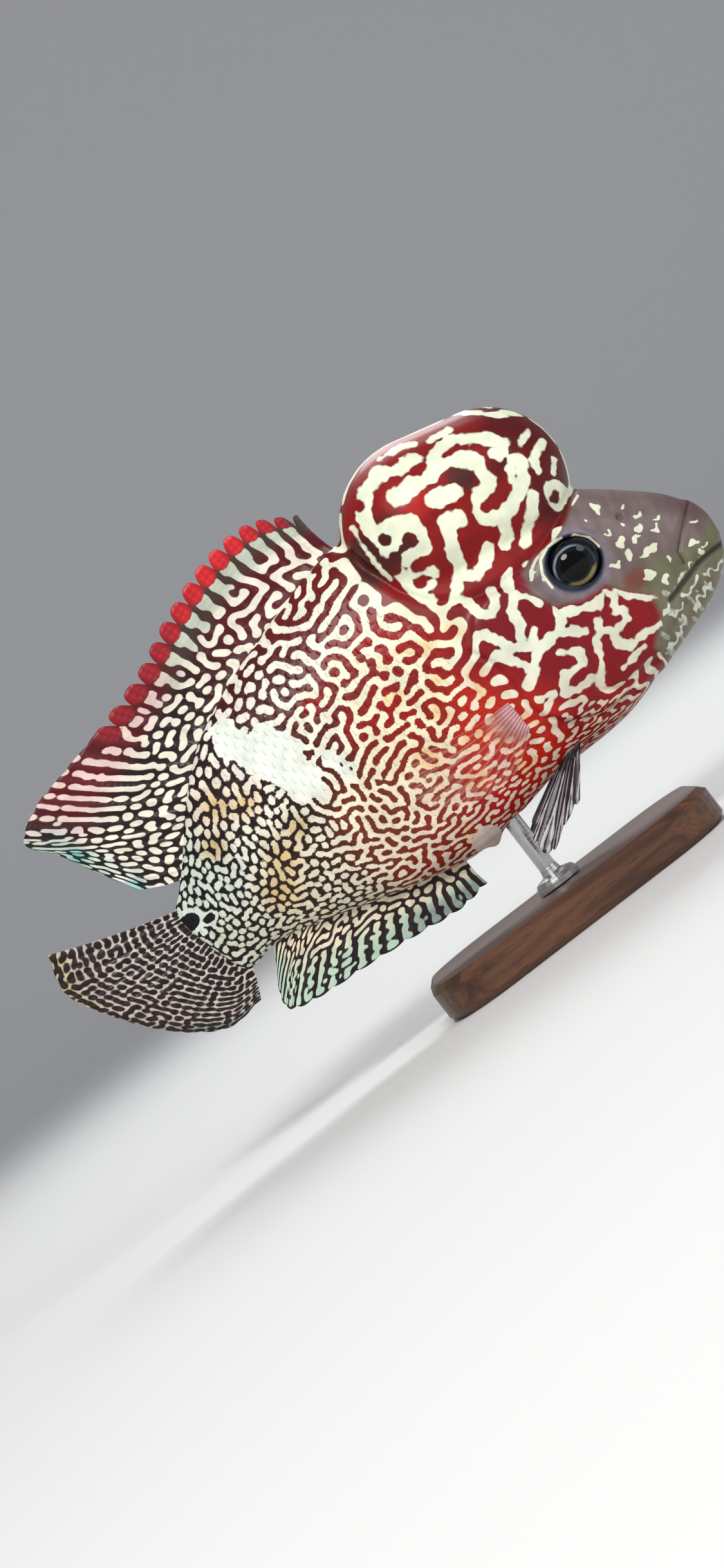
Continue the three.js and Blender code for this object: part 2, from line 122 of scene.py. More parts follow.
def inside_depth(x, z, outline):
    """Signed distance to a closed outline, positive inside."""
    closed = list(outline) + [outline[0]]
    inside = np.zeros(len(x), bool)
    for (x0, z0), (x1, z1) in zip(closed[:-1], closed[1:]):
        crosses = (z0 > z) != (z1 > z)
        at = x0 + (z - z0) * (x1 - x0) / (z1 - z0 + 1e-12)
        inside ^= crosses & (x < at)
    return np.where(inside, 1, -1) * line_distance(x, z, closed)


# Meshes as arrays

def add_object(name, data):
    obj = bpy.data.objects.new(name, data)
    bpy.context.scene.collection.objects.link(obj)
    return obj


def mesh_object(name, points, faces):
    """A mesh object from fish millimetres."""
    mesh = bpy.data.meshes.new(name)
    mesh.from_pydata(to_row(points).tolist(), [], faces if isinstance(faces, list) else faces.tolist())
    mesh.polygons.foreach_set("use_smooth", np.ones(len(mesh.polygons), bool))
    mesh.update()
    return add_object(name, mesh)


def add_values(mesh, name, values):
    values = np.asarray(values, np.float32)
    if values.ndim == 1:
        layer = mesh.attributes.new(name, "FLOAT", "POINT")
        layer.data.foreach_set("value", values)
    else:
        layer = mesh.attributes.new(name, "FLOAT_COLOR", "POINT")
        full = np.concatenate([values, np.ones((len(values), 1), np.float32)], axis=1)
        layer.data.foreach_set("color", full.ravel())


# Columns of the array that says what is drawn at each vertex
DRAWN = {"mark": 0, "ground": slice(1, 4), "pale": slice(4, 7), "rim": 7}


def add_drawn(mesh, values):
    for name, column in DRAWN.items():
        add_values(mesh, name, values[:, column])


def mesh_arrays(mesh):
    points = np.zeros(len(mesh.vertices) * 3)
    mesh.vertices.foreach_get("co", points)
    edges = np.zeros(len(mesh.edges) * 2, np.int64)
    mesh.edges.foreach_get("vertices", edges)
    return points.reshape(-1, 3), edges.reshape(-1, 2)


MOST_NEIGHBOURS = 8


def neighbour_table(count, edges):
    """Each vertex's neighbours as a padded table, and 1 where a neighbour is real, 0 where it is padding."""
    source = np.concatenate([edges[:, 0], edges[:, 1]])
    target = np.concatenate([edges[:, 1], edges[:, 0]])
    order = np.argsort(source, kind="stable")
    source, target = source[order], target[order]
    valence = np.bincount(source, minlength=count)
    first = np.concatenate([[0], np.cumsum(valence)[:-1]])
    slot = np.arange(len(source)) - first[source]
    width = min(int(valence.max()), MOST_NEIGHBOURS)
    keep = slot < width
    table = np.tile(np.arange(count)[:, None], (1, width))
    real = np.zeros((count, width))
    table[source[keep], slot[keep]] = target[keep]
    real[source[keep], slot[keep]] = 1.0
    return table, real


def relax(points, table, real, steps, share=0.5):
    weight = real / real.sum(1, keepdims=True)
    for _ in range(steps):
        mean = (points[table] * weight[..., None]).sum(1)
        points = points + share * (mean - points)
    return points


# The labyrinth of marks

def spread_out(field, table, weight, share, steps):
    """The field blurred along the mesh: each step moves a share of the way to the neighbours' mean."""
    for _ in range(steps):
        field = field + share * ((field[table] * weight).sum(1) - field)
    return field


# Rounds in which the labyrinth grows, and steps of each blur
ROUNDS = 12
NEAR_STEPS = 26
FAR_STEPS = 42
WIDE_STEPS = 60
SOFT_STEPS = 16


def labyrinth(points, edges, period, bias, swell, lie, stretch, guide, seed):
    """A field above 0 on the marks and below 0 on the ground: each spot follows its near neighbours and
    shuns those further off, so that bands of the given period grow. A bias under 0 parts the marks into
    cells and one over 0 parts the ground. swell then makes the marks wider or, under 0, narrower. lie is the
    direction that marks run in and stretch how strongly they do."""
    table, real = neighbour_table(len(points), edges)
    step = points[table] - points[:, None, :]
    length = np.linalg.norm(step, axis=2) + 1e-9
    along = np.abs((step * lie[:, None, :]).sum(2)) / length
    plain = real / real.sum(1, keepdims=True)
    weight = real * (1 + stretch[:, None] * (2 * along ** 2 - 1))
    weight /= weight.sum(1, keepdims=True)
    spread = (weight * length ** 2).sum(1) / 2
    near_blur = (period / 7.1) ** 2
    far_blur = (period / 4.4) ** 2
    near_share = np.clip(near_blur / (NEAR_STEPS * spread), 0, 1)
    far_share = np.clip((far_blur - near_blur) / (FAR_STEPS * spread), 0, 1)

    field = np.random.default_rng(seed).normal(0, 1, len(points))
    field = spread_out(field, table, weight, near_share, NEAR_STEPS) * 4
    for _ in range(ROUNDS):
        near = spread_out(field, table, weight, near_share, NEAR_STEPS)
        far = spread_out(near, table, weight, far_share, FAR_STEPS)
        field = np.tanh(7.0 * (near - far + bias + guide))
    soft = spread_out(field, table, weight, near_share * 0.7, SOFT_STEPS)
    wide = np.clip((0.8 * period) ** 2 / (WIDE_STEPS * spread), 0, 1)
    mean = spread_out(soft, table, plain, wide, WIDE_STEPS)
    scatter = spread_out((soft - mean) ** 2, table, plain, wide, WIDE_STEPS)
    deviation = np.sqrt(np.maximum(scatter, 0.01))
    level = np.clip(mean - swell * deviation, -0.75, 0.75)
    return np.clip((soft - level) / (1.5 * deviation), -1, 1)


# Marks drawn on the head: half width, then the points of a line in the side view [x, z]
HUMP_MARKS = [
    (1.35, [(29.6, 38.2), (26.5, 38.6), (23.2, 40.2), (20, 39.2), (17.6, 36.8), (16.6, 33.6), (17.2, 31)]),
    (1.75, [(23.4, 34.7), (27, 35.0)]), (1.2, [(27, 34.6), (30.2, 34.2), (33.6, 34.6)]),
    (1.6, [(27.8, 30.8), (31.4, 29.7)]),
    (1.15, [(31.6, 35.6), (33, 37), (36.2, 37.2), (39.4, 35.3), (42, 33.1), (43.4, 31.2), (42.4, 30.2),
        (40.8, 30.4)]),
    (1.6, [(34.4, 35), (36, 33.4), (37.6, 31), (37.8, 28.8), (36.4, 27.2)]),
    (1.3, [(36.4, 27.2), (34.2, 26.4), (33, 24.8), (32.9, 23), (35, 21.8), (38, 22), (40, 23.2),
        (42.2, 24.6)]),
    (1.2, [(42.2, 24.6), (43.4, 26.6), (42.9, 28)]), (0.9, [(40.4, 25.6), (41.6, 27)]),
    (1.6, [(29.2, 25.8), (27, 26.2), (26.2, 24.6)]), (1.3, [(26, 24), (25.1, 21.6), (24.7, 19)]),
    (1.0, [(24.6, 19), (22.6, 17.2), (20.6, 15.6), (19.4, 13.6)]),
    (1.05, [(24.2, 17.9), (26, 16.4), (28.4, 16.9), (30.6, 19)]),
    (1.6, [(17.2, 32), (20, 31.4), (22.2, 30)]), (1.4, [(17, 28.9), (19, 29.4), (22.2, 28.6)]),
    (1.15, [(22.8, 27.4), (23.2, 25.4), (20, 25.6), (18.4, 25.4)]),
    (1.0, [(16, 24.4), (16.2, 21.6), (16.8, 18.8), (17.6, 17.4)]),
    (1.0, [(17.6, 23.2), (19.6, 22), (21.8, 20.6)]), (0.7, [(17, 19.6), (19.3, 20)]),
    (1.05, [(33.2, 17.6), (34.6, 18.6), (35, 20.6)]),
    (1.05, [(36.2, 15.8), (37.6, 17.2), (39.6, 19), (41.8, 20.9)]),
    (0.7, [(44, 20), (45, 21), (46.5, 20.4), (47, 19), (46, 17.6), (44.2, 17.4), (43.6, 18.8), (44, 20)]),
    (0.8, [(45.2, 24), (45.6, 25.9), (47.4, 27.2), (49.2, 27.6)]), (0.7, [(46, 29.6), (47.6, 30.2)]),
    (0.45, [(47.2, 22.2), (49, 23.8)]), (0.6, [(31.4, 40.6), (29.4, 41.8), (25.6, 42.2)]),
    (0.6, [(33.6, 39.4), (37.4, 38.9)]), (0.45, [(14.5, 35.8), (14.0, 32), (13.8, 28), (14.3, 24.6)]),
]
HUMP_GAPS = [
    (0.95, [(17.3, 30.6), (17.5, 30.4)]), (1.0, [(20.4, 27.9), (20.7, 27.7)]),
    (1.05, [(17, 26.9), (15.9, 25.6)]), (0.9, [(18.8, 23.8), (20, 23.5)]), (0.85, [(17.6, 21.2), (18, 21)]),
    (0.85, [(17.4, 38.2), (17.6, 37.6)]), (0.9, [(32.4, 32.1), (33.6, 31.2), (33.8, 29.4)]),
    (0.8, [(34.9, 29), (35.2, 28.8)]), (0.7, [(28.2, 36.6), (30.2, 36.4)]),
    (0.7, [(44.8, 18.8), (45, 18.6)]), (0.6, [(26.2, 40.4), (27.4, 40)]), (0.5, [(34, 35.6), (36.6, 35.4)]),
    (1.0, [(25.2, 28.6), (24.7, 26.8), (23.8, 24.2), (22.4, 22.4), (22.8, 20.4), (21, 18.8), (19.4, 17.6)]),
    (0.95, [(34.2, 24.4), (38, 24.5), (39.6, 27), (39.4, 29.6)]),
]
CHEEK_MARKS = [
    (0.7, [(15.5, 3), (17, 5.4), (19, 6.2), (21, 7.2), (22.4, 5), (23.4, 2.8), (26.2, 1.2), (28, 3)]),
    (0.75, [(19.6, 4.4), (22.2, 0.8), (24, -2.4), (21.8, -3.8)]),
    (0.7, [(24.6, -1.4), (27, 0), (30, 0.4), (33, -1), (35, -2.4)]),
    (0.65, [(31.6, 0.6), (33.4, 2.6), (36, 1.4), (39.4, 0.1), (41.6, 1)]),
    (0.7, [(25.4, 3.4), (26.6, 5), (27, 8), (29, 9.8), (30.6, 8.4), (31.6, 6.4)]),
    (0.75, [(22, 13.4), (22.6, 11), (24, 9.7), (25.6, 10.5), (26.4, 12.6)]),
    (0.7, [(29, 11.2), (30, 13), (32.4, 14.8)]),
    (0.6, [(37.5, -2.5), (36.6, -4), (38.6, -4.8), (38, -7.5), (39.5, -9), (43, -8.8), (46.5, -9.6)]),
    (0.6, [(41, -3), (42.4, -3.4), (41.8, -5), (39.5, -5.2)]), (0.5, [(41.2, 1), (42.4, -0.6), (41.4, -2)]),
    (0.6, [(29.5, -2.6), (31.6, -4.6), (31, -6.4), (27.4, -6.4), (25.6, -8.4), (28, -9.4), (30.6, -9.2)]),
    (0.5, [(35.2, -4.6), (34, -8), (31.6, -11), (31.6, -12.6), (34, -13.6)]),
    (0.5, [(21.5, -6.6), (24.4, -7.4), (22, -8.6)]), (0.6, [(42, 2.8), (43.6, 1), (44.5, -2), (47.4, -4.4)]),
    (0.45, [(36.6, -11.2), (41.4, -10.4)]), (0.4, [(32.6, 2.8), (33.6, 5)]),
    (0.5, [(24, -10.4), (27.6, -11.2)]),
]
CHEEK_AREA = [
    (20.8, 14), (21, 7), (19.6, 2), (20.4, -5), (22.4, -9.4), (31, -13), (44, -12), (46, -9), (47.4, -4),
    (44, -1), (42, 2.4), (33, 4.5), (31.6, 8), (33, 15),
]
# Spots: place, half length, half height
FACE_FLECKS = [
    (49.4, 13.2, 0.45, 1.3), (51.4, 8.0, 0.35, 0.6), (54.3, 7.8, 0.65, 0.4), (49.0, 6.0, 0.9, 0.7),
    (48.8, 3.5, 0.7, 0.9), (53.0, 6.0, 0.8, 0.5), (51.6, 4.9, 0.9, 0.35), (52.0, 1.9, 2.0, 0.6),
    (55.2, 4.2, 0.9, 0.6), (56.6, 5.4, 0.9, 0.35), (46.0, 3.4, 1.1, 0.5), (48.4, 8.6, 0.6, 0.3),
    (59.0, -1.6, 1.0, 0.5), (59.2, -3.6, 0.6, 0.4), (60.6, -3.2, 0.7, 0.3), (49.6, -1.4, 1.1, 0.9),
    (51.4, -3.6, 0.9, 0.8), (33.6, 10.5, 0.8, 0.6), (42.6, 11.3, 1.0, 0.4), (54.0, -1.6, 0.5, 0.4),
    (46.6, 12.4, 0.3, 0.6), (53.4, 10.6, 0.4, 0.25), (61.4, 1.2, 0.6, 0.3), (34.4, 8.6, 0.3, 0.5),
]
EYE_ARCS = [
    [(34.9, 6.8), (34.9, 9.6), (36.2, 11.8), (38.6, 12.9), (41.4, 12.6)],
    [(43.4, 11.8), (45.2, 9.8), (45.6, 7.6)],
    [(48.6, 16.8), (44.2, 15.3), (40, 13.8), (36, 12.5), (33.6, 11.2)],
]
JAW_MARKS = [
    (0.45, [(60.5, -4.9), (56, -4.4), (53, -5.2), (49.6, -7.4), (46, -8.9)]),
    (0.5, [(61.6, -7), (59.4, -7.6), (57.4, -7)]), (0.45, [(56, -6.6), (54, -8), (52, -7.6)]),
    (0.55, [(57.6, -9), (54.6, -9.6), (52.6, -11)]), (0.45, [(51.4, -8.8), (49, -9.6), (48.4, -8.8)]),
    (0.5, [(44.8, -13.4), (47.2, -13.2), (48.8, -11.8)]), (0.4, [(50.6, -10.6), (49.4, -11.8)]),
]
# Painted highlight: white patches on the mid flank for the glare of the light on the wet scales; half width,
# then a line [x, z]
PAINTED_GLARE_PATCHES = [
    (2.9, [(-24.6, 20.4), (-21.5, 15), (-19.5, 9.5), (-18, 6.2)]), (1.4, [(-19, 18), (-16, 12)]),
    (1.3, [(-12.5, 6.8), (-11.5, 3.8)]), (0.9, [(-25.6, 22.6), (-23, 22)]),
]
TAIL_SPOTS = [(-48.9, -0.7, 2.1, 1.55), (-45.6, -2.2, 1.2, 0.8)]

FACE = [
    (49.5, 18.4), (45, 16.2), (40, 14.3), (35, 12.9), (32.4, 12), (31.4, 8), (33.4, 4), (38, 2.0),
    (42.4, 1.8), (44.4, -1), (47.6, -4.2), (47, -8), (43, -11.6), (44, -17), (72, -17), (72, 20),
]

# Regions of the flank and cheek: place, reach, period of the marks, bias and swell of the labyrinth, lie of
# the marks in degrees, how drawn out they are, ground colour, colour of the marks
REGIONS = {
    "breast": (14, -7, 8, 2.6, -0.1, 0.05, -18, 0.35, (196, 36, 12), (250, 228, 204)),
    "fore_belly": (9, -15, 6, 2.1, -0.08, 0.0, -14, 0.4, (178, 26, 20), (246, 222, 204)),
    "belly": (-5, -16, 7, 2.1, 0.02, 0.05, -20, 0.3, (150, 42, 28), (250, 230, 208)),
    "throat": (30, -16, 6, 2.0, -0.03, -0.2, -6, 0.6, (142, 18, 24), (226, 204, 180)),
    "cheek": (26, 2, 9, 4.3, -0.01, -0.1, 20, 0.1, (122, 7, 20), (232, 234, 212)),
    "low_cheek": (37, -8, 7, 3.4, -0.01, -0.15, 0, 0.3, (134, 12, 22), (228, 226, 204)),
    "shoulder": (14, 17, 6, 3.3, 0.03, 0.0, 40, 0.1, (130, 12, 8), (242, 240, 206)),
    "high_shoulder": (7, 27, 6, 3.4, 0.02, 0.05, 50, 0.1, (106, 10, 12), (242, 242, 216)),
    "flank": (1, 13, 8, 2.9, 0.05, 0.0, 30, 0.1, (128, 14, 10), (244, 238, 208)),
    "low_flank": (2, 1, 7, 2.4, 0.05, 0.05, -10, 0.2, (142, 30, 12), (246, 232, 196)),
    "mid_low": (-11, -7, 8, 2.2, 0.05, 0.1, -35, 0.25, (116, 48, 26), (250, 234, 206)),
    "fore_back": (-4, 30, 6, 3.1, 0.0, 0.1, 60, 0.2, (100, 8, 20), (240, 236, 218)),
    "mid_back": (-14, 24, 7, 2.7, -0.06, 0.35, 75, 0.35, (70, 12, 18), (242, 236, 220)),
    "mid_flank": (-13, 11, 7, 2.4, 0.02, 0.2, 60, 0.2, (84, 20, 18), (242, 236, 214)),
    "rear_back": (-30, 18, 8, 2.5, -0.12, 0.45, 74, 0.5, (36, 14, 14), (242, 232, 218)),
    "rear_flank": (-27, 3, 8, 2.1, -0.11, 0.45, 60, 0.3, (30, 18, 14), (240, 236, 218)),
    "low_rear": (-27, -10, 8, 1.9, -0.1, 0.4, -30, 0.35, (48, 28, 16), (236, 228, 202)),
    "stalk": (-42, 3, 7, 1.9, -0.12, 0.5, 70, 0.3, (14, 14, 14), (216, 226, 212)),
    "low_stalk": (-40, -8, 6, 1.7, -0.1, 0.4, -40, 0.3, (20, 18, 16), (218, 216, 196)),
}
GOLD_TINTS = [
    (-33, 12.5, 3.0), (-28.5, 9.5, 2.4), (-37.5, 7, 2.6), (-29, -1.5, 3.2), (-33, -6, 3.6), (-24, 1, 2.2),
]
GOLD = (214, 170, 74)
RED = (162, 14, 8)
RED_TINTS = [
    (0.5, 9, 3.2), (8, 15, 4.0), (6, 20, 3.0), (13, 11, 3.4), (-6, 8, 2.6), (-9, 16, 2.2), (3, 4, 2.6),
]


def blended_regions(x, z):
    """Period, bias, swell, lie, stretch, ground and pale colour at each point of the flank."""
    total = 0
    sums = 0
    for cx, cz, reach, period, bias, swell, angle, stretch, ground, pale in REGIONS.values():
        weight = np.exp(-((x - cx) ** 2 + (z - cz) ** 2) / (2 * (0.62 * reach) ** 2)) + 1e-9
        turn = math.radians(2 * angle)
        drawn_out = [stretch * math.cos(turn), stretch * math.sin(turn)]
        row = [period, bias, swell, *drawn_out, *rgb(*ground), *rgb(*pale)]
        sums = sums + weight[:, None] * np.array(row)
        total = total + weight
    return sums / total[:, None]


def hump_depth(x, z):
    """Signed distance to the hump's outline in the side view, positive inside."""
    axis = HUMP_FRONT - HUMP_REAR
    share = np.clip(((x - HUMP_REAR[0]) * axis[0] + (z - HUMP_REAR[1]) * axis[1]) / (axis @ axis), 0, 1)
    radius = HUMP_REAR_RADIUS + (HUMP_FRONT_RADIUS - HUMP_REAR_RADIUS) * share
    return radius - np.hypot(x - HUMP_REAR[0] - share * axis[0], z - HUMP_REAR[1] - share * axis[1])


def drawn_depth(x, z, lines):
    """How deep each point lies inside the drawn lines, in millimetres, negative outside."""
    return np.max([half_width - line_distance(x, z, line) for half_width, line in lines], axis=0)


def strokes(x, z, lines):
    return fade(-0.3, 0.3, drawn_depth(x, z, lines))


def spots(x, z, centres):
    """Distance to the nearest spot, as a share of the spot's size."""
    return np.min([np.hypot((x - cx) / long, (z - cz) / high) for cx, cz, long, high in centres], axis=0)


def wobble(x, z, size, seed):
    """A smooth random field of about -1 to 1, from a few waves."""
    rng = np.random.default_rng(seed)
    total = np.zeros(len(x))
    for _ in range(7):
        turn = rng.uniform(0, 2 * math.pi)
        wave = 2 * math.pi / (size * rng.uniform(0.7, 1.5))
        total += np.sin(wave * (x * math.cos(turn) + z * math.sin(turn)) + rng.uniform(0, 2 * math.pi))
    return total / 2.6


def tinted(colour, x, z, places, tint):
    """The colour tinted round each place, by 3/4 at its middle."""
    shares = [0.75 * np.exp(-((x - cx) ** 2 + (z - cz) ** 2) / (reach * reach)) for cx, cz, reach in places]
    return layered(colour, *((tint, share) for share in shares))


def jaw_height(x, z):
    """Height over a line that runs along the jaw, down towards the snout."""
    return z + 0.25 * (x - 56)


def mark_field(points, edges, local, in_hump, in_face):
    """The labyrinth, with the drawn marks of the hump, cheek, face and tail spot laid into it, and white
    patches of painted glare.
    """
    x, y, z = points.T
    near_hump = fade(-3.0, 0.5, hump_depth(x, z))
    side = fade(2.5, 6.0, np.abs(y))
    turn = np.arctan2(local[:, 4], local[:, 3]) / 2
    lie = np.stack([np.cos(turn), np.zeros(len(x)), np.sin(turn)], axis=1)
    stretch = np.hypot(local[:, 3], local[:, 4]) * (1 - in_hump)
    period = mix(local[:, 0], 6.0, near_hump)
    bias = mix(local[:, 1], 0.0, in_hump)
    swell = mix(local[:, 2], 0.05, in_hump)

    ragged = 0.22 * wobble(x, z, 4.2, 51) + 0.12 * wobble(x, z, 1.8, 52)
    hump_drawn = drawn_depth(x, z, HUMP_MARKS) + 0.08 + ragged
    known = fade(-3.4, -2.2, hump_drawn)
    hump_drawn = np.minimum(hump_drawn, -drawn_depth(x, z, HUMP_GAPS) + 0.6 * ragged)
    cheek_drawn = drawn_depth(x, z, CHEEK_MARKS) + 0.24 + 1.1 * ragged
    on_hump = side * in_hump * fade(-0.2, 1.2, hump_depth(x, z)) * known
    on_cheek = side * fade(-0.8, 0.8, inside_depth(x, z, CHEEK_AREA)) * (1 - in_hump)
    guide = on_hump * np.clip(hump_drawn, -0.8, 0.8) + on_cheek * np.clip(cheek_drawn, -0.7, 0.7)
    field = labyrinth(points, edges, period, bias, swell, lie, stretch, guide, SEED)
    field = mix(field, np.clip(hump_drawn / 0.9, -1, 1), on_hump)
    field = mix(field, np.clip(cheek_drawn / 0.7, -1, 1), on_cheek)

    bent_x = x + 0.3 * wobble(x, z, 2.2, 91)
    bent_z = z + 0.3 * wobble(x, z, 2.2, 92)
    face_mark = fade(1.45, 0.75, spots(bent_x, bent_z, FACE_FLECKS))
    face_mark = np.maximum(face_mark, strokes(x, z, [(0.3, arc) for arc in EYE_ARCS]))
    mottle = fade(0.1, 0.7, wobble(x + 0.5 * z, z - 0.3 * x, 2.6, 81))
    mottle = mottle * fade(-5.4, -6.6, jaw_height(x, z))
    face_mark = np.maximum(face_mark, np.maximum(0.7 * strokes(bent_x, bent_z, JAW_MARKS), 0.6 * mottle))
    face_mark = face_mark * fade(0.3, 0.8, line_distance(x, z, MOUTH_LINE))
    field = mix(field, 1.6 * face_mark - 0.9, in_face)
    field = mix(field, -1.0, fade(5.0, 4.6, apart(x, z, EYE_AT, EYE_TALL)))

    # Painted highlight: the glare on the wet flank is laid in as pale marks.
    patch = drawn_depth(x, z, PAINTED_GLARE_PATCHES) + 0.8 * wobble(x, z, 4.2, 61) + 0.3 * wobble(x, z, 1.6, 62)
    field = np.maximum(field, np.clip(patch / 0.6, -1, 1))
    field = np.maximum(field, fade(3.4, 2.2, apart(x, z, VENT, VENT_TALL)) * 2 - 1)
    tail_spot = spots(x, z, TAIL_SPOTS)
    field = np.maximum(field, 1 - 2 * fade(1.35, 1.6, tail_spot))
    return np.minimum(field, 2 * fade(0.85, 1.1, tail_spot) - 1)


def hump_ground(x, z):
    """Crimson, darker in front, with a bright place behind, painted shade in brown at the rear and a brown
    place in the middle.
    """
    # Painted shade: brown over the hump's rear, towards the nape.
    rear = fade(23.5, 20, x) * fade(23, 27, z) * fade(36, 32, z)
    return layered(
        rgb(136, 10, 8),
        ((88, 4, 8), fade(34, 46, x + 3 * wobble(x, z, 9, 5))),
        ((172, 20, 10), fade(5.5, 2, apart(x, z, (24, 33)))),
        ((48, 26, 22), 0.8 * rear),
        ((52, 30, 26), 0.8 * fade(3.5, 1.5, apart(x, z, (34, 31)))),
    )


def face_ground(x, z):
    """Mottled grey, olive below, lilac round the eye, brown on the lip and behind it, painted shade in the
    mouth line and lip fold.
    """
    mottled = layered(
        rgb(114, 98, 96),
        ((106, 106, 80), fade(3, -4, z + 2 * wobble(x, z, 8, 7))),
        ((134, 122, 132), fade(7.5, 5.0, apart(x, z, EYE_AT))),
        ((114, 110, 90), fade(-4.6, -6.4, jaw_height(x, z))),
    ) * (1 + 0.06 * wobble(x, z, 2.4, 93))[:, None]
    # Painted shade: the mouth line and the lip fold are darkened where the skin sinks into them.
    shaded_crease_distance = np.minimum(line_distance(x, z, MOUTH_LINE), line_distance(x, z, LIP_FOLD) + 0.25)
    return layered(
        mottled,
        ((98, 74, 74), fade(57, 63, x) * fade(-2, 4, z)),
        ((122, 52, 34), 0.7 * fade(3.4, 1.2, apart(x, z, (47.2, -0.6), 1.3))),
        ((44, 30, 30), 0.85 * fade(0.65, 0.2, shaded_crease_distance)),
    )


def body_marks(points, edges):
    """The field of marks, the colours and the darkness of narrow gaps at each vertex of the skin."""
    x, _, z = points.T
    local = blended_regions(x, z)
    in_hump = fade(-0.6, 0.6, hump_depth(x, z))
    in_face = fade(-0.7, 0.7, inside_depth(x, z, FACE)) * (1 - in_hump)
    field = mark_field(points, edges, local, in_hump, in_face)

    table, real = neighbour_table(len(points), edges)
    weight = real / real.sum(1, keepdims=True)
    crowd = spread_out((field > 0).astype(float), table, weight, 0.9, 14)
    rim = fade(0.5, 0.78, crowd) * (1 - in_face) * mix(0.6, 0.8, in_hump)

    ground = mix(mix(local[:, 5:8], hump_ground(x, z), in_hump), face_ground(x, z), in_face)
    ground = tinted(ground, x, z, RED_TINTS, RED)
    ground = layered(ground, ((34, 42, 58), fade(5.7, 5.0, apart(x, z, EYE_AT, EYE_TALL))))
    face_pale = mix(rgb(226, 228, 200), rgb(222, 228, 210), fade(-3, -7, z))
    pale = mix(mix(local[:, 8:11], rgb(240, 244, 216), in_hump), face_pale, in_face)
    pale = tinted(pale, x, z, GOLD_TINTS, GOLD)
    orange = fade(0.1, 0.9, wobble(x, z, 7, 23)) * fade(-6, 2, x) * fade(21, 17, x)
    pale = layered(
        pale,
        ((248, 190, 96), 0.5 * orange * fade(17, 12, z) * (1 - in_hump) * (1 - in_face)),
        ((244, 228, 220), fade(3.4, 1.6, apart(x, z, VENT, VENT_TALL))),
        # Painted highlight: the glare patches take a near-white colour.
        ((238, 244, 232), fade(-1.5, 0.8, drawn_depth(x, z, PAINTED_GLARE_PATCHES))),
    )
    return np.column_stack([field, np.clip(ground, 0, 1), np.clip(pale, 0, 1), rim])


# The skin's own relief, side view
MOUTH_LINE = [(66, -4.3), (62.5, -4.6), (57.5, -5.0), (53, -6.2), (50, -7.0)]
LIP_FOLD = [(64.4, 5.2), (61.5, 3.4), (58.4, 1.0), (56, -1.2), (55.6, -3.4)]
GILL_EDGE = [
    (17.2, 6.5), (18.9, 3), (19.6, -1), (19.2, -5), (20.2, -9.5), (23.4, -13.2), (29, -15.6), (36, -16.0),
]
CHEEK_EDGE = [(33.4, 5), (34.6, 0), (34.6, -4), (32.6, -8.4), (31, -12), (34, -14), (40, -13.4)]
HUMP_CREASE = [
    (11, 35.6), (11.9, 29), (14.2, 22.2), (17.5, 17.4), (22, 14.2), (28, 12.6), (35, 13.0), (40, 14.5),
    (45, 16.4), (49.4, 18.6),
]
CHIN_FOLD = [(58, -8.2), (52, -9.4), (46, -11.8), (43.6, -14.4)]
THROAT_FOLD = [(45, -14.6), (43, -13.6), (38, -14.6), (30, -16.4)]
BROW_FOLD = [(34.4, 9.6), (36.6, 12.6), (40, 13.8), (44, 12.6), (46, 9.8)]
NOSTRIL = (51.8, 9.6)


# Folds and swellings: height, line, how far it is moved in x and z, width
FOLDS = [
    (-0.55, MOUTH_LINE, 0, 0, 0.42), (-0.42, LIP_FOLD, 0, 0, 0.5), (0.22, LIP_FOLD, -1.3, 0.8, 0.9),
    (-0.5, GILL_EDGE, 0, 0, 0.45), (0.25, GILL_EDGE, 1.4, 0, 1.2), (-0.3, CHEEK_EDGE, 0, 0, 0.55),
    (-0.6, HUMP_CREASE, 0, 0, 0.7), (-0.3, CHIN_FOLD, 0, 0, 0.5), (-0.35, THROAT_FOLD, 0, 0, 0.5),
    (0.25, BROW_FOLD, 0, 0, 0.7),
]


def ridge(distance, width):
    return np.exp(-((distance / width) ** 2))


def relief(x, z):
    """How far the skin stands out, in millimetres, with folds, lips, lids and pits."""
    rise = 0.5 * ridge(line_distance(x, z + 1.5, MOUTH_LINE), 1.1) * fade(53, 58, x)
    rise += 0.45 * ridge(line_distance(x, z - 1.7, MOUTH_LINE), 1.2) * fade(55, 60, x)
    for height, line, right, up, width in FOLDS:
        rise += height * ridge(line_distance(x - right, z - up, line), width)
    rise += 0.4 * ridge(apart(x, z, EYE_AT, EYE_TALL) - 5.3, 0.55)
    pit = apart(x, z, NOSTRIL)
    return rise - 0.9 * ridge(pit, 0.5) + 0.2 * ridge(pit - 0.95, 0.35)


def remeshed(name, points, faces):
    obj = mesh_object(name, points, faces)
    modifier = obj.modifiers.new("fuse", "REMESH")
    modifier.mode = "VOXEL"
    modifier.voxel_size = VOXEL * MM
    modifier.use_smooth_shade = True
    fused = obj.evaluated_get(bpy.context.evaluated_depsgraph_get())
    mesh = bpy.data.meshes.new_from_object(fused)
    mesh.name = name
    bpy.data.objects.remove(obj)
    return mesh


def fused_flesh():
    """The CAD's pieces of flesh as one mesh, a little swollen so that the cuts close."""
    points = []
    faces = []
    for name in FLESH:
        part = bmesh.new()
        part.from_mesh(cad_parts[name].data)
        bmesh.ops.remove_doubles(part, verts=part.verts, dist=1e-6)
        part.normal_update()
        first = len(points)
        points += [tuple(to_fish(v.co) + np.array(v.normal) * INFLATE) for v in part.verts]
        faces += [[first + v.index for v in f.verts] for f in part.faces]
        part.free()
    return remeshed("fish_skin", np.array(points), faces)


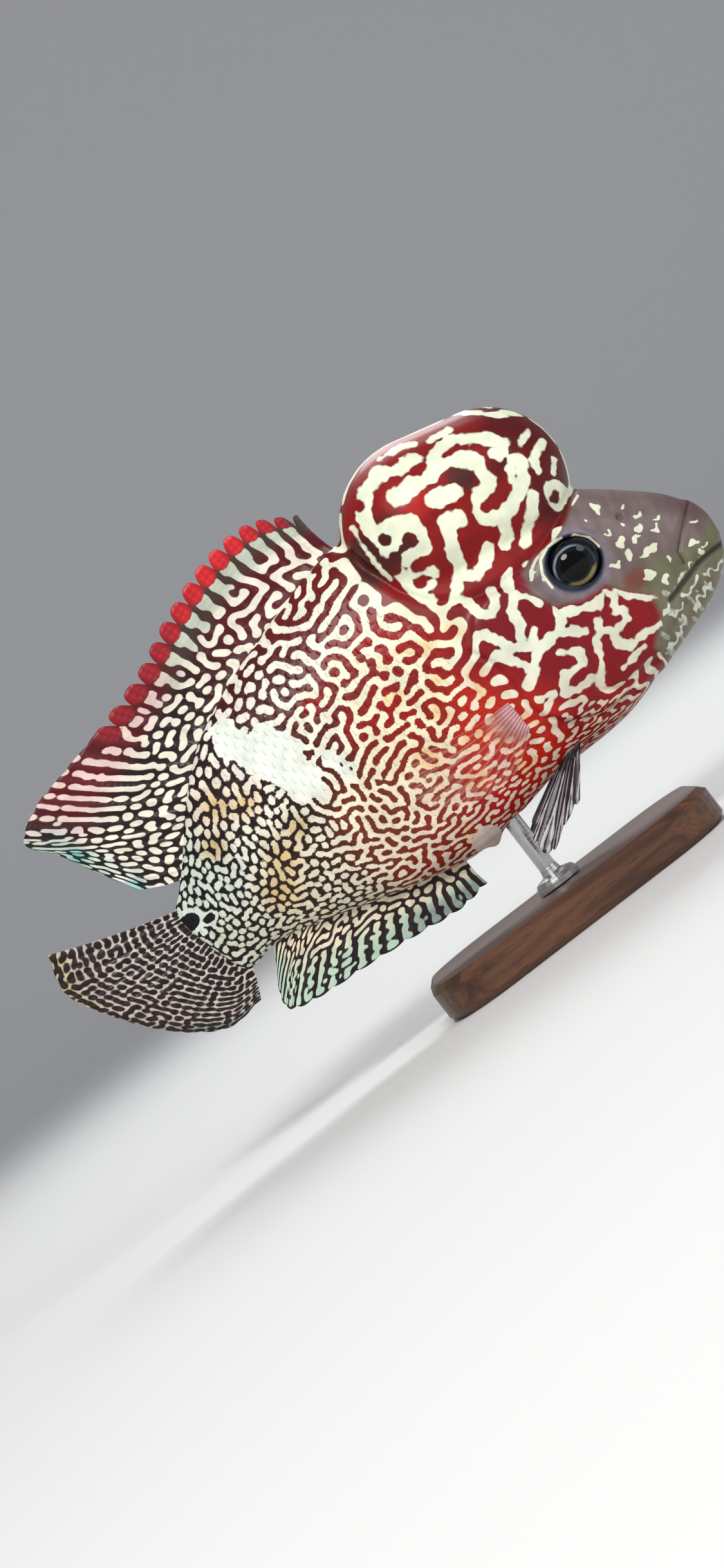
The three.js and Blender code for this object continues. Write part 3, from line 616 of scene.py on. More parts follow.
def vertex_normals(mesh):
    normals = np.zeros(len(mesh.vertices) * 3)
    mesh.vertices.foreach_get("normal", normals)
    return normals.reshape(-1, 3)


def set_points(mesh, points):
    mesh.vertices.foreach_set("co", to_row(points).ravel())
    mesh.update()


def skin():
    """The body's one skin with its relief and marks. Its points and what is drawn at them are given too."""
    mesh = fused_flesh()
    points, edges = mesh_arrays(mesh)
    table, real = neighbour_table(len(points), edges)
    points = relax(to_fish(points), table, real, SMOOTH_STEPS)
    set_points(mesh, points)
    normals = vertex_normals(mesh)
    sideways = fade(0.15, 0.6, np.abs(normals[:, 1]))
    outward = relief(points[:, 0], points[:, 2]) * sideways - INFLATE * 0.8
    points = relax(points + normals * outward[:, None], table, real, 2, 0.4)
    set_points(mesh, points)
    drawn = body_marks(points, edges)
    add_drawn(mesh, drawn)
    mesh.polygons.foreach_set("use_smooth", np.ones(len(mesh.polygons), bool))
    return add_object("fish_skin", mesh), points, drawn


# Materials

class Graph:
    """A new material with one shader, and short calls for its nodes."""

    def __init__(self, name):
        self.material = bpy.data.materials.new(name)
        self.material.use_nodes = True
        self.tree = self.material.node_tree
        self.tree.nodes.clear()
        self.shader = self.node("BsdfPrincipled")
        self.node("OutputMaterial", Surface=self.shader.outputs["BSDF"])

    def node(self, kind, settings=None, **values):
        made = self.tree.nodes.new("ShaderNode" + kind)
        for key, value in (settings or {}).items():
            setattr(made, key, value)
        self.feed(made, values)
        return made

    def feed(self, node, values):
        """Each input, by name or number, takes a link or a constant."""
        for key, value in values.items():
            socket = node.inputs[key.replace("_", " ") if isinstance(key, str) else key]
            if isinstance(value, bpy.types.NodeSocket):
                self.tree.links.new(value, socket)
            else:
                socket.default_value = value

    def shade(self, **values):
        self.feed(self.shader, values)

    def attribute(self, name, output="Fac"):
        return self.node("Attribute", {"attribute_name": name}).outputs[output]

    def ramp(self, value, low, high, to_low=0.0, to_high=1.0):
        limits = {"From_Min": low, "From_Max": high, "To_Min": to_low, "To_Max": to_high}
        made = self.node("MapRange", {"interpolation_type": "SMOOTHSTEP"}, Value=value, **limits)
        return made.outputs["Result"]

    def math(self, operation, a, b):
        made = self.node("Math", {"operation": operation})
        self.feed(made, {0: a, 1: b})
        return made.outputs[0]

    def mixed(self, share, a, b, blend="MIX"):
        made = self.node("Mix", {"data_type": "RGBA", "blend_type": blend})
        self.feed(made, {0: share, 6: a, 7: b})
        return made.outputs[2]

    def grey(self, value):
        return self.node("CombineColor", Red=value, Green=value, Blue=value).outputs["Color"]

    def noise(self, scale, detail, squeeze=None, **more):
        place = self.node("NewGeometry").outputs["Position"]
        if squeeze:
            place = self.node("Mapping", Vector=place, Scale=squeeze).outputs["Vector"]
        return self.node("TexNoise", Vector=place, Scale=scale, Detail=detail, **more).outputs["Fac"]

    def bump(self, height, strength, distance):
        return self.node("Bump", Strength=strength, Distance=distance, Height=height).outputs["Normal"]


def marked_material(name, roughness, coat, grain, grain_depth, rim_colour, clear=False):
    """Ground, dark rim and pale marks from the mesh's own fields, with a fine grain."""
    graph = Graph(name)
    ragged = graph.math("SUBTRACT", graph.noise(1500.0, 2.0), 0.5)
    mark = graph.math("ADD", graph.attribute("mark"), graph.math("MULTIPLY", ragged, 0.4))
    ground = graph.mixed(graph.attribute("rim"), graph.attribute("ground", "Color"), (*rim_colour, 1.0))
    colour = graph.mixed(graph.ramp(mark, -0.1, 0.3), ground, graph.attribute("pale", "Color"))
    cloud = graph.grey(graph.ramp(graph.noise(260.0, 4.0), 0.3, 0.7, 0.86, 1.06))
    graph.shade(Base_Color=graph.mixed(1.0, colour, cloud, "MULTIPLY"))
    graph.shade(Roughness=roughness, Coat_Weight=coat, Coat_Roughness=0.14, Specular_IOR_Level=0.22)
    if clear:
        graph.shade(Alpha=graph.attribute("solid"))
    graph.shade(Normal=graph.bump(graph.noise(grain, 3.0), 0.35, grain_depth))
    return graph.material


def eye_material():
    graph = Graph("wet_eye")
    graph.shade(Base_Color=graph.attribute("ground", "Color"), Roughness=0.05, Specular_IOR_Level=0.2)
    return graph.material


def wood_material():
    graph = Graph("stained_wood")
    along_grain = (1.0, 14.0, 14.0)
    rings = graph.noise(22.0, 6.0, along_grain, Roughness=0.6, Distortion=0.6)
    pores = graph.noise(240.0, 3.0, along_grain)
    base = graph.mixed(graph.ramp(rings, 0.32, 0.68), (*rgb(58, 34, 22), 1), (*rgb(104, 66, 42), 1))
    base = graph.mixed(graph.ramp(pores, 0.56, 0.7, 0.0, 0.6), base, (*rgb(34, 20, 14), 1))
    graph.shade(Base_Color=base, Roughness=graph.ramp(pores, 0.3, 0.8, 0.32, 0.5))
    graph.shade(Normal=graph.bump(pores, 0.2, 0.0002))
    return graph.material


def steel_material():
    graph = Graph("brushed_steel")
    lines = graph.noise(300.0, 4.0, (1.0, 1.0, 30.0))
    graph.shade(Base_Color=graph.grey(graph.ramp(lines, 0.3, 0.7, 0.5, 0.68)), Metallic=1.0)
    graph.shade(Roughness=graph.ramp(lines, 0.3, 0.7, 0.22, 0.4), Normal=graph.bump(lines, 0.1, 0.0001))
    return graph.material


# Fins. Feet and tips are those of the solids, with the fins of the middle flat in y = 0 [x, z].
MEMBRANE = 0.46
RAY_AT_ROOT = 1.2
RAY_AT_TIP = 0.62
FLESH_ROOT = (1.9, 0.3)  # thickness at the foot and the share of the height that it takes to thin out
PAIRED_ROOT = (1.3, 0.15)
PAIRED = ("pectoral_fin", "pelvic_fin")
FIN_STEP = 0.25
RAY_BAND = 1.1  # length of a ray's joints
SPINES = 15  # the dorsal fin's first rays, each with a lappet behind it
CAUDAL_ROWS = 16  # rows of cells from the tail fin's root to its edge

# Cut and sharpness shape the notches between rays. Where there is a labyrinth, period, bias and swell are
# given at the front and at the rear.
FINS = {
    "dorsal_fin": {
        "nodes": ("dorsal_fin_spiny", "dorsal_fin_soft"), "rays": 25, "bow": 0.045, "root": FLESH_ROOT,
        "forks": 0.15, "cut": 2.3, "sharpness": 3.4, "stretch": 0.5,
        "period": (3.0, 2.5), "bias": (0.0, -0.1), "swell": (0.2, 0.35),
        "at": [0, 2.8, 5.6, 8.4, 11.2, 14, 15.67, 17.33, 19, 20.67, 22.33, 24],
        "feet": [(10.4, 34.4), (4, 33.2), (-4, 30.9), (-12, 28.4), (-20, 25.4), (-27.6, 21.6), (-32, 18.4),
                 (-35, 15.6), (-37.6, 12.8), (-40, 10), (-42, 7.8), (-44, 5.6)],
        "tips": [(8.6, 43.8), (0.5, 47.9), (-9.2, 47.3), (-19.6, 43.8), (-29.8, 39.0), (-41.6, 35.2),
                 (-51, 33), (-58, 31.2), (-63.3, 27.4), (-59.8, 22.2), (-56.2, 15.6), (-52.6, 9.2)],
    },
    "anal_fin": {
        "rays": 15, "bow": -0.05, "root": FLESH_ROOT, "forks": 0.15, "cut": 0.5, "sharpness": 2,
        "stretch": 0.7, "period": (2.0, 1.9), "bias": (-0.06, -0.06), "swell": (0.3, 0.3),
        "feet": [(-4.4, -19.9), (-9, -19), (-14, -17.7), (-20, -16), (-26, -14), (-30.5, -12.6),
                 (-34, -11.8), (-38.2, -11)],
        "tips": [(-3.9, -26.6), (-10.4, -27.4), (-19, -26.4), (-29, -25.4), (-38.5, -24.7), (-44.2, -23.2),
                 (-43.8, -19.4), (-41.4, -15.6)],
    },
    "caudal_fin": {
        "rays": 15, "bow": 0.02, "root": FLESH_ROOT, "forks": 0.2, "cut": 0.25, "sharpness": 2,
        "stretch": -0.15, "period": (1.65, 1.65), "bias": (0.08, 0.08), "swell": (-0.6, -0.6),
        "feet": [(-47.6, 1.8), (-48, 0), (-47.8, -2), (-47.4, -4.2), (-46.8, -6.4), (-46, -8.4),
                 (-45, -10.2), (-44.2, -11.6)],
        "tips": [(-71.8, 9.7), (-73.5, 3.4), (-71.9, -1.4), (-69.2, -5.8), (-65.2, -11.2), (-60.4, -15.9),
                 (-54.2, -19.4), (-47.2, -18.8)],
    },
    "pectoral_fin": {
        "rays": 12, "bow": 0.04, "root": PAIRED_ROOT, "forks": 0.2, "cut": 0.2, "sharpness": 2,
        "feet": [(17.2, 10.7, -4.0), (17.3, 10.7, -5.4), (17.4, 10.6, -6.8), (17.4, 10.5, -8.2),
                 (17.5, 10.2, -9.6)],
        "tips": [(-1.5, 14.4, -1.2), (-5.2, 14.8, -5.6), (-3.2, 14.8, -10.6), (3.4, 14.2, -14),
                 (10.8, 13.2, -14.2)],
    },
    "pelvic_fin": {
        "rays": 6, "bow": 0.0, "root": PAIRED_ROOT, "forks": 0.22, "cut": 1.2, "sharpness": 3,
        "feet": [(23.4, 5.2, -16.6), (22.4, 5.0, -16.6), (21.4, 4.8, -16.8), (20.4, 4.6, -17.0),
                 (19.4, 4.4, -17.2)],
        "tips": [(17.0, 7.6, -24.6), (12.4, 8.4, -26.4), (7.6, 8.6, -28.9), (6.4, 7.4, -25.6),
                 (9.2, 6.2, -22.8)],
    },
}


def spline(knots, at, position):
    """Catmull-Rom through points that sit at the given positions, read at an array of positions."""
    knots = np.array(knots, float)
    ends = np.vstack([2 * knots[0] - knots[1], knots, 2 * knots[-1] - knots[-2]])
    place = np.interp(position, at, np.arange(len(knots)))
    span = np.minimum(place.astype(int), len(knots) - 2)
    t = (place - span)[:, None]
    a, b, c, d = (ends[span + i] for i in range(4))
    bend = (2 * a - 5 * b + 4 * c - d) * t ** 2
    return 0.5 * (2 * b + (c - a) * t + bend + (3 * b - 3 * c + d - a) * t ** 3)


def dorsal_colours(ray, v, x, z):
    """The dorsal fin's ground and pale colours and the push on its marks, with the lappets of its spines."""
    from_ray = 2 * np.abs((ray + 0.5) % 1.0 - 0.5)
    spiny = fade(SPINES - 0.2, SPINES - 1.2, ray)
    soft = 1 - spiny
    grey = fade(0.5, 0.68, v + 0.03 * wobble(x, z, 4, 31)) * fade(-38, -24, x) * spiny
    lappet_foot = 0.785 + 0.07 * from_ray ** 2
    lappet = fade(lappet_foot - 0.02, lappet_foot + 0.02, v) * fade(0.4, 1.2, ray) * spiny
    red = layered(
        rgb(132, 8, 24),
        ((190, 18, 28), fade(-30, -8, x) * fade(0.5, 4, ray)),
        ((60, 10, 18), fade(0.8, 0.98, from_ray) * 0.85),
    )
    maroon = fade(0.5, 0.75, v) * fade(-20, -30, x) * fade(20.5, 17, ray) * (1 - lappet)
    outer = soft * fade(0.5, 0.8, v) * fade(17, 19, ray)
    thin = fade(0.86, 0.92, v) * fade(22.6, 24, ray) * fade(0.995, 0.97, v)
    ground = layered(rgb(84, 6, 18), ((30, 12, 14), fade(-6, -30, x)), ((62, 54, 48), grey * 0.8))
    ground = layered(mix(ground, red, lappet), ((86, 2, 20), maroon), ((12, 14, 16), outer))
    pale = layered(
        rgb(240, 234, 214),
        ((240, 230, 216), v),
        ((176, 188, 168), grey * 0.8),
        ((150, 204, 190), outer * (0.6 + 0.4 * wobble(x, z, 6, 41))),
        ((226, 180, 176), 0.6 * maroon),
        ((120, 214, 214), 0.7 * thin),
    )
    streaks = 0.08 * np.cos(2 * math.pi * 1.8 * ray) * fade(0.3, 0.6, v) * fade(21.5, 18, ray) * soft
    streaks += 0.16 * np.cos(2 * math.pi * ray) * grey
    leading = fade(0.9, 0.2, ray)
    push = streaks - 1.6 * lappet - 0.6 * leading - 0.12 * maroon * fade(0.8, 0.95, v)
    return ground, pale, push + 0.8 * thin


def fin_colours(name, ray, v, x, z, on_ray):
    """Ground colour, pale colour, push on the marks and how solid it is, at each point of a fin."""
    solid = np.ones(len(v))
    if name == "dorsal_fin":
        ground, pale, push = dorsal_colours(ray, v, x, z)
    elif name == "anal_fin":
        front = fade(-26, -12, x) * fade(0.45, 0.8, v)
        ground = mix(rgb(48, 20, 16), rgb(20, 10, 12), v)
        pale = layered(rgb(240, 226, 196), ((192, 218, 194), fade(0.3, 0.8, v)), ((142, 158, 150), front))
        streaks = 0.1 * np.cos(2 * math.pi * 1.6 * ray) * fade(0.4, 0.6, v)
        push = streaks - 0.25 * fade(0.94, 1.0, v)
    elif name == "caudal_fin":
        edge = fade(0.84, 0.97, v)
        ground = mix(rgb(28, 14, 14), rgb(34, 12, 14), v)
        pale = layered(
            rgb(210, 202, 192),
            ((194, 180, 172), v),
            ((190, 188, 136), edge * fade(8, 2, ray)),
            ((120, 150, 130), edge * fade(6, 11, ray)),
        )
        push = 0.05 * np.cos(2 * math.pi * CAUDAL_ROWS * v) + 0.03 * np.cos(2 * math.pi * 1.5 * ray)
    elif name == "pelvic_fin":
        ground = np.tile(rgb(34, 18, 22), (len(v), 1))
        pale = np.tile(rgb(178, 172, 178), (len(v), 1))
        push = 1.8 * on_ray * fade(0.05, 0.3, v) + 0.3 * wobble(x, z, 3, 71) - 1.1
        solid = 0.85 + 0.15 * np.maximum(on_ray, fade(0.5, 0.1, v))
    else:
        ground = mix(rgb(190, 128, 134), rgb(214, 130, 104), fade(0.06, 0.25, v))
        pale = mix(rgb(236, 210, 208), rgb(236, 208, 190), fade(0.1, 0.3, v))
        push = 2 * on_ray - 1
        solid = np.maximum(0.03 + 0.09 * on_ray, 0.85 * fade(0.34, 0.02, v))
    return ground, pale, push, solid


def fin_points(places, side):
    """Feet or tips as points: a fin of the middle gives them as [x, z], a paired one as [x, y, z]."""
    if side == 0:
        return np.array([(x, 0.0, z) for x, z in places])
    return np.array(places, float) * [1, side, 1]


def fin_faces(index):
    """A closed skin over a grid of vertices, whose back has the same vertices again after the front's."""
    back = index.size
    a, b = index[:-1, :-1].ravel(), index[1:, :-1].ravel()
    c, d = index[1:, 1:].ravel(), index[:-1, 1:].ravel()
    rim = np.concatenate([index[:, 0], index[-1, 1:], index[-2::-1, -1], index[0, -2:0:-1]])
    following = np.roll(rim, -1)
    return np.vstack([
        np.stack([a, b, c, d], 1),
        np.stack([a, d, c, b], 1) + back,
        np.stack([rim, rim + back, following + back, following], 1),
    ])


def grid_edges(index):
    pairs = [(index[:-1], index[1:]), (index[:, :-1], index[:, 1:])]
    return np.vstack([np.stack([start.ravel(), end.ravel()], 1) for start, end in pairs])


def grown_marks(name, seed, ray, foot, along, v, on_ray):
    """The fin's labyrinth, grown on the fin without its notches and read off at the notched fin's rows."""
    spec = FINS[name]
    columns, rows = v.shape
    whole = np.linspace(0, 1, rows)
    height = np.tile(whole, columns)
    points = (foot[:, None] + along[:, None] * whole[:, None]).reshape(-1, 3)
    push = fin_colours(name, np.repeat(ray, rows), height, points[:, 0], points[:, 2], on_ray)[2]
    lie = np.repeat(along / np.linalg.norm(along, axis=1)[:, None], rows, axis=0)
    rearward = fade(0.15, 0.6, np.repeat(ray, rows) / ray[-1])
    period, bias, swell = (mix(*spec[key], rearward) for key in ("period", "bias", "swell"))
    stretch = mix(spec["stretch"] * 0.5, min(0.8, spec["stretch"] * 1.6), fade(0.35, 0.75, height))
    edges = grid_edges(np.arange(columns * rows).reshape(columns, rows))
    grown = labyrinth(points, edges, period, bias, swell, lie, stretch, push, seed).reshape(columns, rows)
    return np.concatenate([np.interp(v[i], whole, grown[i]) for i in range(columns)])


def fin(name, side, seed):
    """A fin as one closed skin with rays raised on both faces, and the marks drawn on its own surface."""
    spec = FINS[name]
    last = spec["rays"] - 1
    feet = fin_points(spec["feet"], side)
    tips = fin_points(spec["tips"], side)
    at = spec.get("at", np.linspace(0, last, len(feet)))
    outline = spline(tips, np.linspace(0, last, len(tips)), np.linspace(0, last, 90))
    edge_length = np.linalg.norm(np.diff(outline, axis=0), axis=1).sum()
    per_ray = max(8, int(round(edge_length / last / FIN_STEP)))
    columns = last * per_ray + 1
    ray = np.linspace(0, last, columns)
    foot = spline(feet, at, ray)
    along = spline(tips, at, ray) - foot
    reach = np.linalg.norm(along, axis=1)
    rows = int(reach.max() / FIN_STEP) + 2

    phase = (ray + 0.5) % 1.0 - 0.5
    cut = np.where(ray < SPINES - 1, spec["cut"], 0.3) if name == "dorsal_fin" else spec["cut"]
    trim = cut * (np.abs(phase) * 2) ** spec["sharpness"] / reach
    v = np.linspace(0, 1, rows)[None, :] * (1 - trim[:, None])
    bend = np.stack([-along[:, 2], 0 * ray, along[:, 0]], axis=1) * spec["bow"]
    middle = foot[:, None] + along[:, None] * v[..., None] + bend[:, None] * (4 * v * (1 - v))[..., None]
    fork = spec["forks"] * fade(0.45, 0.9, v)
    off_ray = np.minimum(np.abs(phase[:, None] - fork), np.abs(phase[:, None] + fork))
    on_ray = np.exp(-((off_ray / 0.15) ** 2))
    bands = 0.92 + 0.08 * np.cos(2 * math.pi * v * reach[:, None] / RAY_BAND)
    crest = (RAY_AT_ROOT + (RAY_AT_TIP - RAY_AT_ROOT) * v) * bands
    thickness = MEMBRANE + (crest - MEMBRANE) * on_ray
    root_thickness, root_share = spec["root"]
    thickness = np.maximum(thickness, mix(root_thickness, thickness, fade(0, root_share, v)))
    thickness = thickness * np.minimum(1.0, 0.35 + (1 - v) * reach[:, None] / 0.8)
    flat = middle.reshape(-1, 3)
    half = thickness.reshape(-1)[:, None] / 2 * np.array([0.0, 1.0, 0.0])

    on_ray = on_ray.ravel()
    drawn_at = (np.repeat(ray, rows), v.ravel(), flat[:, 0], flat[:, 2], on_ray)
    ground, pale, field, solid = fin_colours(name, *drawn_at)
    if "period" in spec:
        grown = grown_marks(name, seed, ray, foot, along, v, on_ray)
        field = np.where(field < -0.7, -1.0, np.where(field > 0.5, 1.0, grown))
    ground = mix(ground, np.minimum(ground * 1.5 + 0.02, 1), 0.5 * on_ray)
    drawn = np.column_stack([field, ground, pale, 0 * field])

    label = name + {-1: "_right", 0: "", 1: "_left"}[side]
    faces = fin_faces(np.arange(columns * rows).reshape(columns, rows))
    obj = mesh_object(label + "_skin", np.vstack([flat + half, flat - half]), faces)
    add_drawn(obj.data, np.vstack([drawn, drawn]))
    add_values(obj.data, "solid", np.tile(solid, 2))
    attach(obj, "root")
    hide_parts(*spec.get("nodes", (label,)))
    return obj


# Eyes

def eye(side):
    """An eyeball whose pupil, iris and rims are drawn by their distance from its axis, with a painted
    highlight at the top of its iris ring.
    """
    name = "eye_left" if side > 0 else "eye_right"
    low, high = (to_fish(corner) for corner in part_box(name))
    centre = (low + high) / 2
    radii = (high - low) / 2
    around, down = 72, 48
    theta = np.linspace(0, math.pi, down)[:, None]
    phi = np.linspace(0, 2 * math.pi, around, endpoint=False)
    unit = [np.sin(theta) * np.cos(phi), side * np.cos(theta) + 0 * phi, np.sin(theta) * np.sin(phi)]
    index = np.arange(down * around).reshape(down, around)
    turned = np.roll(index, -1, axis=1)
    quads = np.stack([part.ravel() for part in (index[:-1], turned[:-1], turned[1:], index[1:])], axis=1)
    if side > 0:
        quads = quads[:, ::-1]
    obj = mesh_object(name + "_ball", (centre + np.stack(unit, axis=2) * radii).reshape(-1, 3), quads)
    merged = bmesh.new()
    merged.from_mesh(obj.data)
    bmesh.ops.remove_doubles(merged, verts=merged.verts, dist=1e-8)
    merged.to_mesh(obj.data)
    merged.free()

    x, y, z = (to_fish(mesh_arrays(obj.data)[0]) - centre).T
    radius = apart(x, z, (-0.25, -0.35), 1.08)
    # Painted highlight: the pale ring round the iris is faint all round and bright at the top, where the
    # light falls.
    painted_highlight = 0.12 + 0.7 * fade(0.0, 0.8, np.cos(np.arctan2(z, x) - 2.0))
    below = fade(-2.0, -2.8, z) * fade(2.9, 3.2, radius) * fade(4.0, 3.6, radius)
    colour = layered(
        rgb(2, 2, 4),
        ((20, 22, 32), fade(2.5, 2.7, radius)),
        ((8, 9, 16), fade(2.9, 3.2, radius)),
        # Painted highlight on the pale ring, strongest at the top.
        ((150, 162, 172), fade(3.3, 3.5, radius) * painted_highlight),
        ((10, 12, 20), fade(3.6, 3.85, radius)),
        ((158, 146, 92), below * 0.8),
    )
    add_values(obj.data, "ground", np.where((y * side > 0)[:, None], colour, rgb(20, 20, 26)))
    obj.data.materials.append(eye_material())
    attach(obj, "root")
    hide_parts(name)


# Scales
SCALE_LENGTH = 3.3
SCALE_WIDTH = 3.3
SCALE_STEP_X = 2.2
SCALE_STEP_Z = 1.35
SCALE_RISE = 0.11
SCALE_THICKNESS = 0.08
SCALE_RINGS = 5
SCALE_SPOKES = 20
BODY_REAR = 52  # how far behind x = 0 the tail's root lies, where scales are smallest
MIDLINE = 6.0
BAKED_SIZE = 0.003  # of a scale's patch on the baked map
PIECE_TRIANGLES = 190000
# Where the scales end in front: heights, and x at each
SCALED_TO = ([-22, -14, -9, 7, 20, 36], [31, 23, 18, 16, 14, 9])


def scale_pattern():
    """One scale: points as shares of its length and width, its faces and its rim's first point."""
    places = [(0.0, 0.0)]
    for ring in range(1, SCALE_RINGS + 1):
        for spoke in range(SCALE_SPOKES):
            turn = 2 * math.pi * spoke / SCALE_SPOKES
            share = ring / SCALE_RINGS / 2
            places.append((share * math.cos(turn), share * math.sin(turn) * (1.0 - 0.12 * math.cos(turn))))
    count = len(places)
    outer = count - SCALE_SPOKES
    faces = []
    for i in range(SCALE_SPOKES):
        j = (i + 1) % SCALE_SPOKES
        faces.append([0, 1 + i, 1 + j])
        for first in range(1, outer, SCALE_SPOKES):
            faces.append([first + i, first + SCALE_SPOKES + i, first + SCALE_SPOKES + j])
            faces.append([first + i, first + SCALE_SPOKES + j, first + j])
        faces.append([outer + i, count + i, count + j])
        faces.append([outer + i, count + j, outer + j])
        faces.append([count + SCALE_SPOKES, count + j, count + i])
    return np.array(places), np.array(faces), outer


def scale_roots(side, tree):
    """Where scales grow on one side: rows over the body, clear of the hump, gill cover and head."""
    roots = []
    for row, z in enumerate(np.arange(-22, 37, SCALE_STEP_Z)):
        for x in np.arange(-49, 24, SCALE_STEP_X) + (row % 2) * SCALE_STEP_X / 2:
            hit, normal, _, _ = tree.ray_cast(Vector((x, side * 40.0, z)), Vector((0, -side, 0)))
            if hit is not None and abs(normal[1]) >= 0.3:
                roots.append((x, z, np.array(hit), np.array(normal)))
    x, z = np.array([root[:2] for root in roots]).T
    clear = (hump_depth(x, z) < -1.6) & (line_distance(x, z, GILL_EDGE) > 1.5)
    clear = clear & (x < np.interp(z, *SCALED_TO))
    return [root for root, keep in zip(roots, clear) if keep]


def scales(side, places, outer, tree, skin_faces, drawn):
    """One side's thin overlapping plates that follow the skin: each one's points, marks and baked map."""
    rng = np.random.default_rng(SEED + (1 if side > 0 else 2))
    ring = np.hypot(places[:, 0], places[:, 1]) * 2
    tilt = (places[:, 0] + 0.5) * SCALE_RISE - 0.05
    tilt = tilt - 0.05 * np.clip(ring, 0, 1) ** 4 - 0.08 * (2 * places[:, 1]) ** 2
    made = []
    for x, z, hit, normal in scale_roots(side, tree):
        size = (0.8 + 0.2 * min(1.0, max(0.0, (x + BODY_REAR) / 30))) * rng.uniform(0.96, 1.04)
        back = np.array([-1.0, 0, 0]) + normal * normal[0]
        back /= np.linalg.norm(back)
        up = np.cross(normal, back) * side
        local = hit + (places[:, :1] * SCALE_LENGTH * size) * back
        local = local + (places[:, 1:] * SCALE_WIDTH * size) * up
        top = np.zeros((len(places), 3))
        values = np.zeros((len(places), drawn.shape[1]))
        for i, point in enumerate(local):
            near, near_normal, face, _ = tree.find_nearest(Vector(point))
            top[i] = np.array(near) + np.array(near_normal) * tilt[i]
            values[i] = drawn[skin_faces[face]].mean(0)
        under = top[outer:] - normal * SCALE_THICKNESS
        foot = top[:1] - normal * (SCALE_THICKNESS + 0.02)
        girth = math.atan2(z - MIDLINE, abs(hit[1]) * 2.2) / (math.pi / 2)
        across = 0.04 + 0.42 * (x + BODY_REAR) / 80 + (0.5 if side > 0 else 0.0)
        patch = [across, 0.5 + 0.44 * girth] + places * BAKED_SIZE
        made.append((
            np.vstack([top, under, foot]),
            np.vstack([values, values[outer:], values[:1]]),
            np.vstack([patch, patch[outer:], patch[:1]]),
        ))
    return made


def add_coat(tree, skin_faces, drawn, material):
    """The scales of both sides, joined into pieces of fewer than PIECE_TRIANGLES triangles."""
    places, pattern, outer = scale_pattern()
    step = PIECE_TRIANGLES // len(pattern)
    for side, label in ((-1, "right"), (1, "left")):
        made = scales(side, places, outer, tree, skin_faces, drawn)
        for number, start in enumerate(range(0, len(made), step), 1):
            batch = made[start:start + step]
            points, values, uvs = (np.vstack(arrays) for arrays in zip(*batch))
            per_scale = len(points) // len(batch)
            faces = np.vstack([pattern[:, ::-side] + i * per_scale for i in range(len(batch))])
            obj = mesh_object(f"scales_{label}_{number}", points, faces)
            add_drawn(obj.data, values)
            layer = obj.data.uv_layers.new(name="OFBake")
            layer.data.foreach_set("uv", uvs[faces.ravel()].ravel())
            obj.data.materials.append(material)
            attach(obj, "root")


# Scene: camera, light and floor
VIEW_ROLL = math.radians(37.5)  # the photo shows the fish turned this far, head up
CAMERA_DISTANCE = 0.5
VIEW_HEIGHT = 0.2707  # what the frame's height spans at the fish
AIM = (-10.75, 0.0, 0.13)
SENSOR = 36.0
FLOOR_END = 1.6
WALL_CURVE = 0.8  # radius by which the floor turns up into the wall


def add_camera():
    right = Vector((math.cos(VIEW_ROLL), 0, -math.sin(VIEW_ROLL)))
    up = Vector((math.sin(VIEW_ROLL), 0, math.cos(VIEW_ROLL)))
    back = right.cross(up)
    camera = add_object("camera", bpy.data.cameras.new("camera"))
    turned = Matrix((right, up, back)).transposed().to_4x4()
    turned.translation = Vector(to_row(AIM)) + back * CAMERA_DISTANCE
    camera.matrix_world = turned
    camera.data.sensor_fit = "VERTICAL"
    camera.data.sensor_height = SENSOR
    camera.data.lens = SENSOR * CAMERA_DISTANCE / VIEW_HEIGHT
    camera.data.clip_start = 0.01
    bpy.context.scene.camera = camera


def area_light(name, place, size, power, colour):
    lamp = add_object(name, bpy.data.lights.new(name, "AREA"))
    lamp.data.shape = "DISK"
    lamp.data.size = size
    lamp.data.energy = power
    lamp.data.color = colour
    lamp.location = place
    aim = Vector(to_row(AIM)) - lamp.location
    lamp.rotation_euler = aim.to_track_quat("-Z", "Y").to_euler()


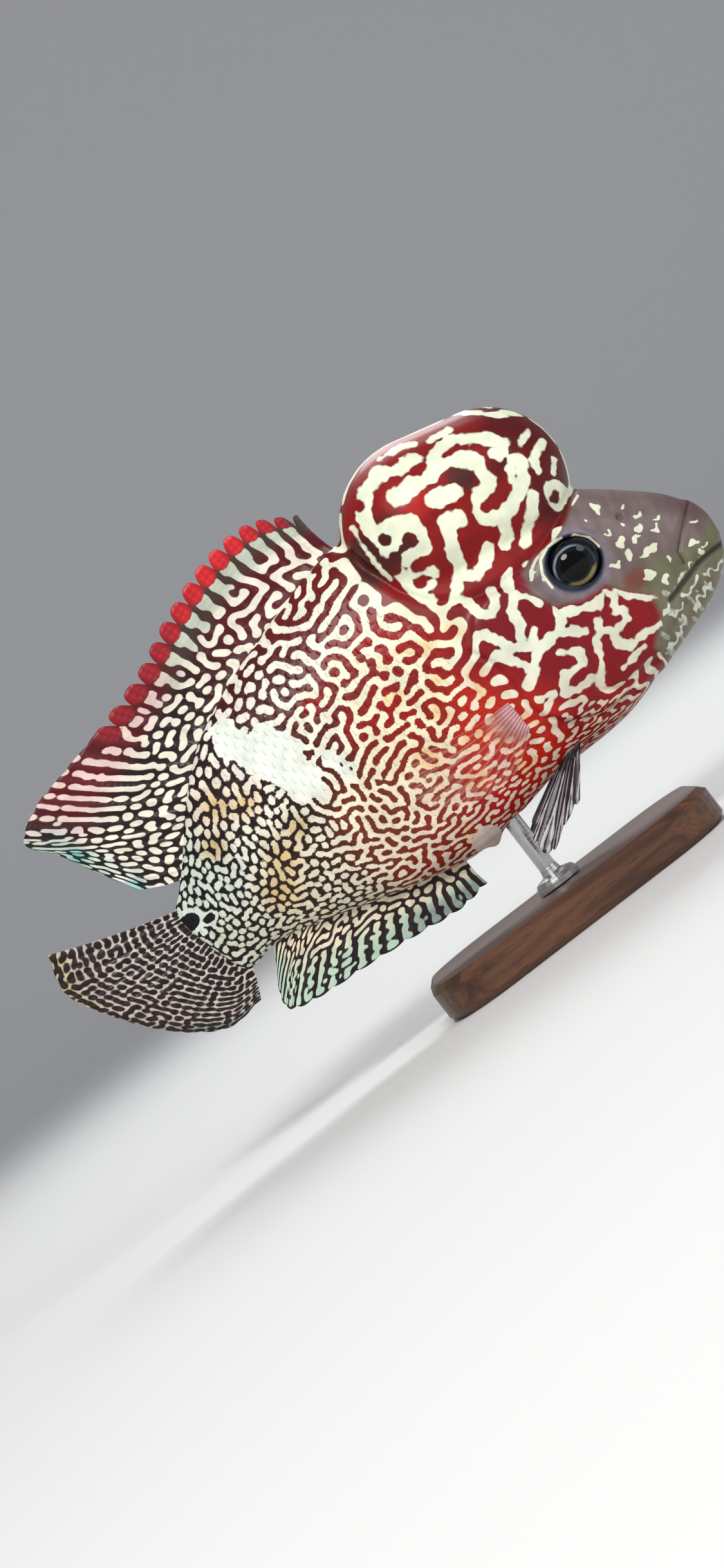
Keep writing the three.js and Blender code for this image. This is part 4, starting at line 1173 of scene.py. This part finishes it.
def add_floor():
    """A pale floor that curves up into a wall behind the model."""
    profile = [(-3.0, 0.0)]
    for i in range(13):
        turn = i / 12 * math.pi / 2
        profile.append((FLOOR_END + WALL_CURVE * math.sin(turn), WALL_CURVE - WALL_CURVE * math.cos(turn)))
    profile.append((FLOOR_END + WALL_CURVE, 4.0))
    points = [(x, y, z) for y, z in profile for x in (-4.0, 4.0)]
    faces = [[2 * i, 2 * i + 1, 2 * i + 3, 2 * i + 2] for i in range(len(profile) - 1)]
    mesh = bpy.data.meshes.new("floor")
    mesh.from_pydata(points, [], faces)
    mesh.polygons.foreach_set("use_smooth", [True] * len(faces))
    graph = Graph("pale_floor")
    graph.shade(Base_Color=(0.72, 0.72, 0.71, 1), Roughness=0.8)
    mesh.materials.append(graph.material)
    add_object("floor", mesh)


def add_world():
    world = bpy.data.worlds.new("studio")
    world.use_nodes = True
    background = world.node_tree.nodes["Background"]
    background.inputs["Color"].default_value = (0.9, 0.93, 1.0, 1)
    background.inputs["Strength"].default_value = 0.4
    bpy.context.scene.world = world


add_camera()
add_world()
add_floor()
area_light("key", (-0.1, -0.7, 0.62), 0.3, 5.0, (1.0, 0.98, 0.95))
area_light("fill", (0.7, -0.6, 0.5), 0.4, 2.0, (0.95, 0.97, 1.0))
area_light("back", (0.1, 0.5, 0.6), 0.4, 3.0, (1.0, 1.0, 1.0))
bpy.context.scene.view_settings.view_transform = "Standard"

body, skin_points, drawn = skin()
skin_material = marked_material("wet_skin", 0.46, 0.1, 2600.0, 0.00008, rgb(40, 12, 8))
body.data.materials.append(skin_material)
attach(body, "root")
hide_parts(*FLESH)

skin_faces = [list(p.vertices) for p in body.data.polygons]
tree = BVHTree.FromPolygons(skin_points.tolist(), skin_faces)
corners = np.array([face if len(face) == 4 else face + face[:1] for face in skin_faces])
add_coat(tree, corners, drawn, skin_material)

fin_material = marked_material("fin_skin", 0.46, 0.1, 2200.0, 0.00006, rgb(40, 14, 12))
clear_material = marked_material("clear_fin_skin", 0.35, 0.2, 2200.0, 0.00004, rgb(150, 90, 90), clear=True)
for number, name in enumerate(FINS):
    for side in (-1, 1) if name in PAIRED else (0,):
        made = fin(name, side, SEED + 10 * number + side)
        made.data.materials.append(clear_material if side else fin_material)

eye(-1)
eye(1)

for node, finish in (("stand_base", wood_material()), ("stand_rod", steel_material())):
    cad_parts[node].data.materials.clear()
    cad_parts[node].data.materials.append(finish)
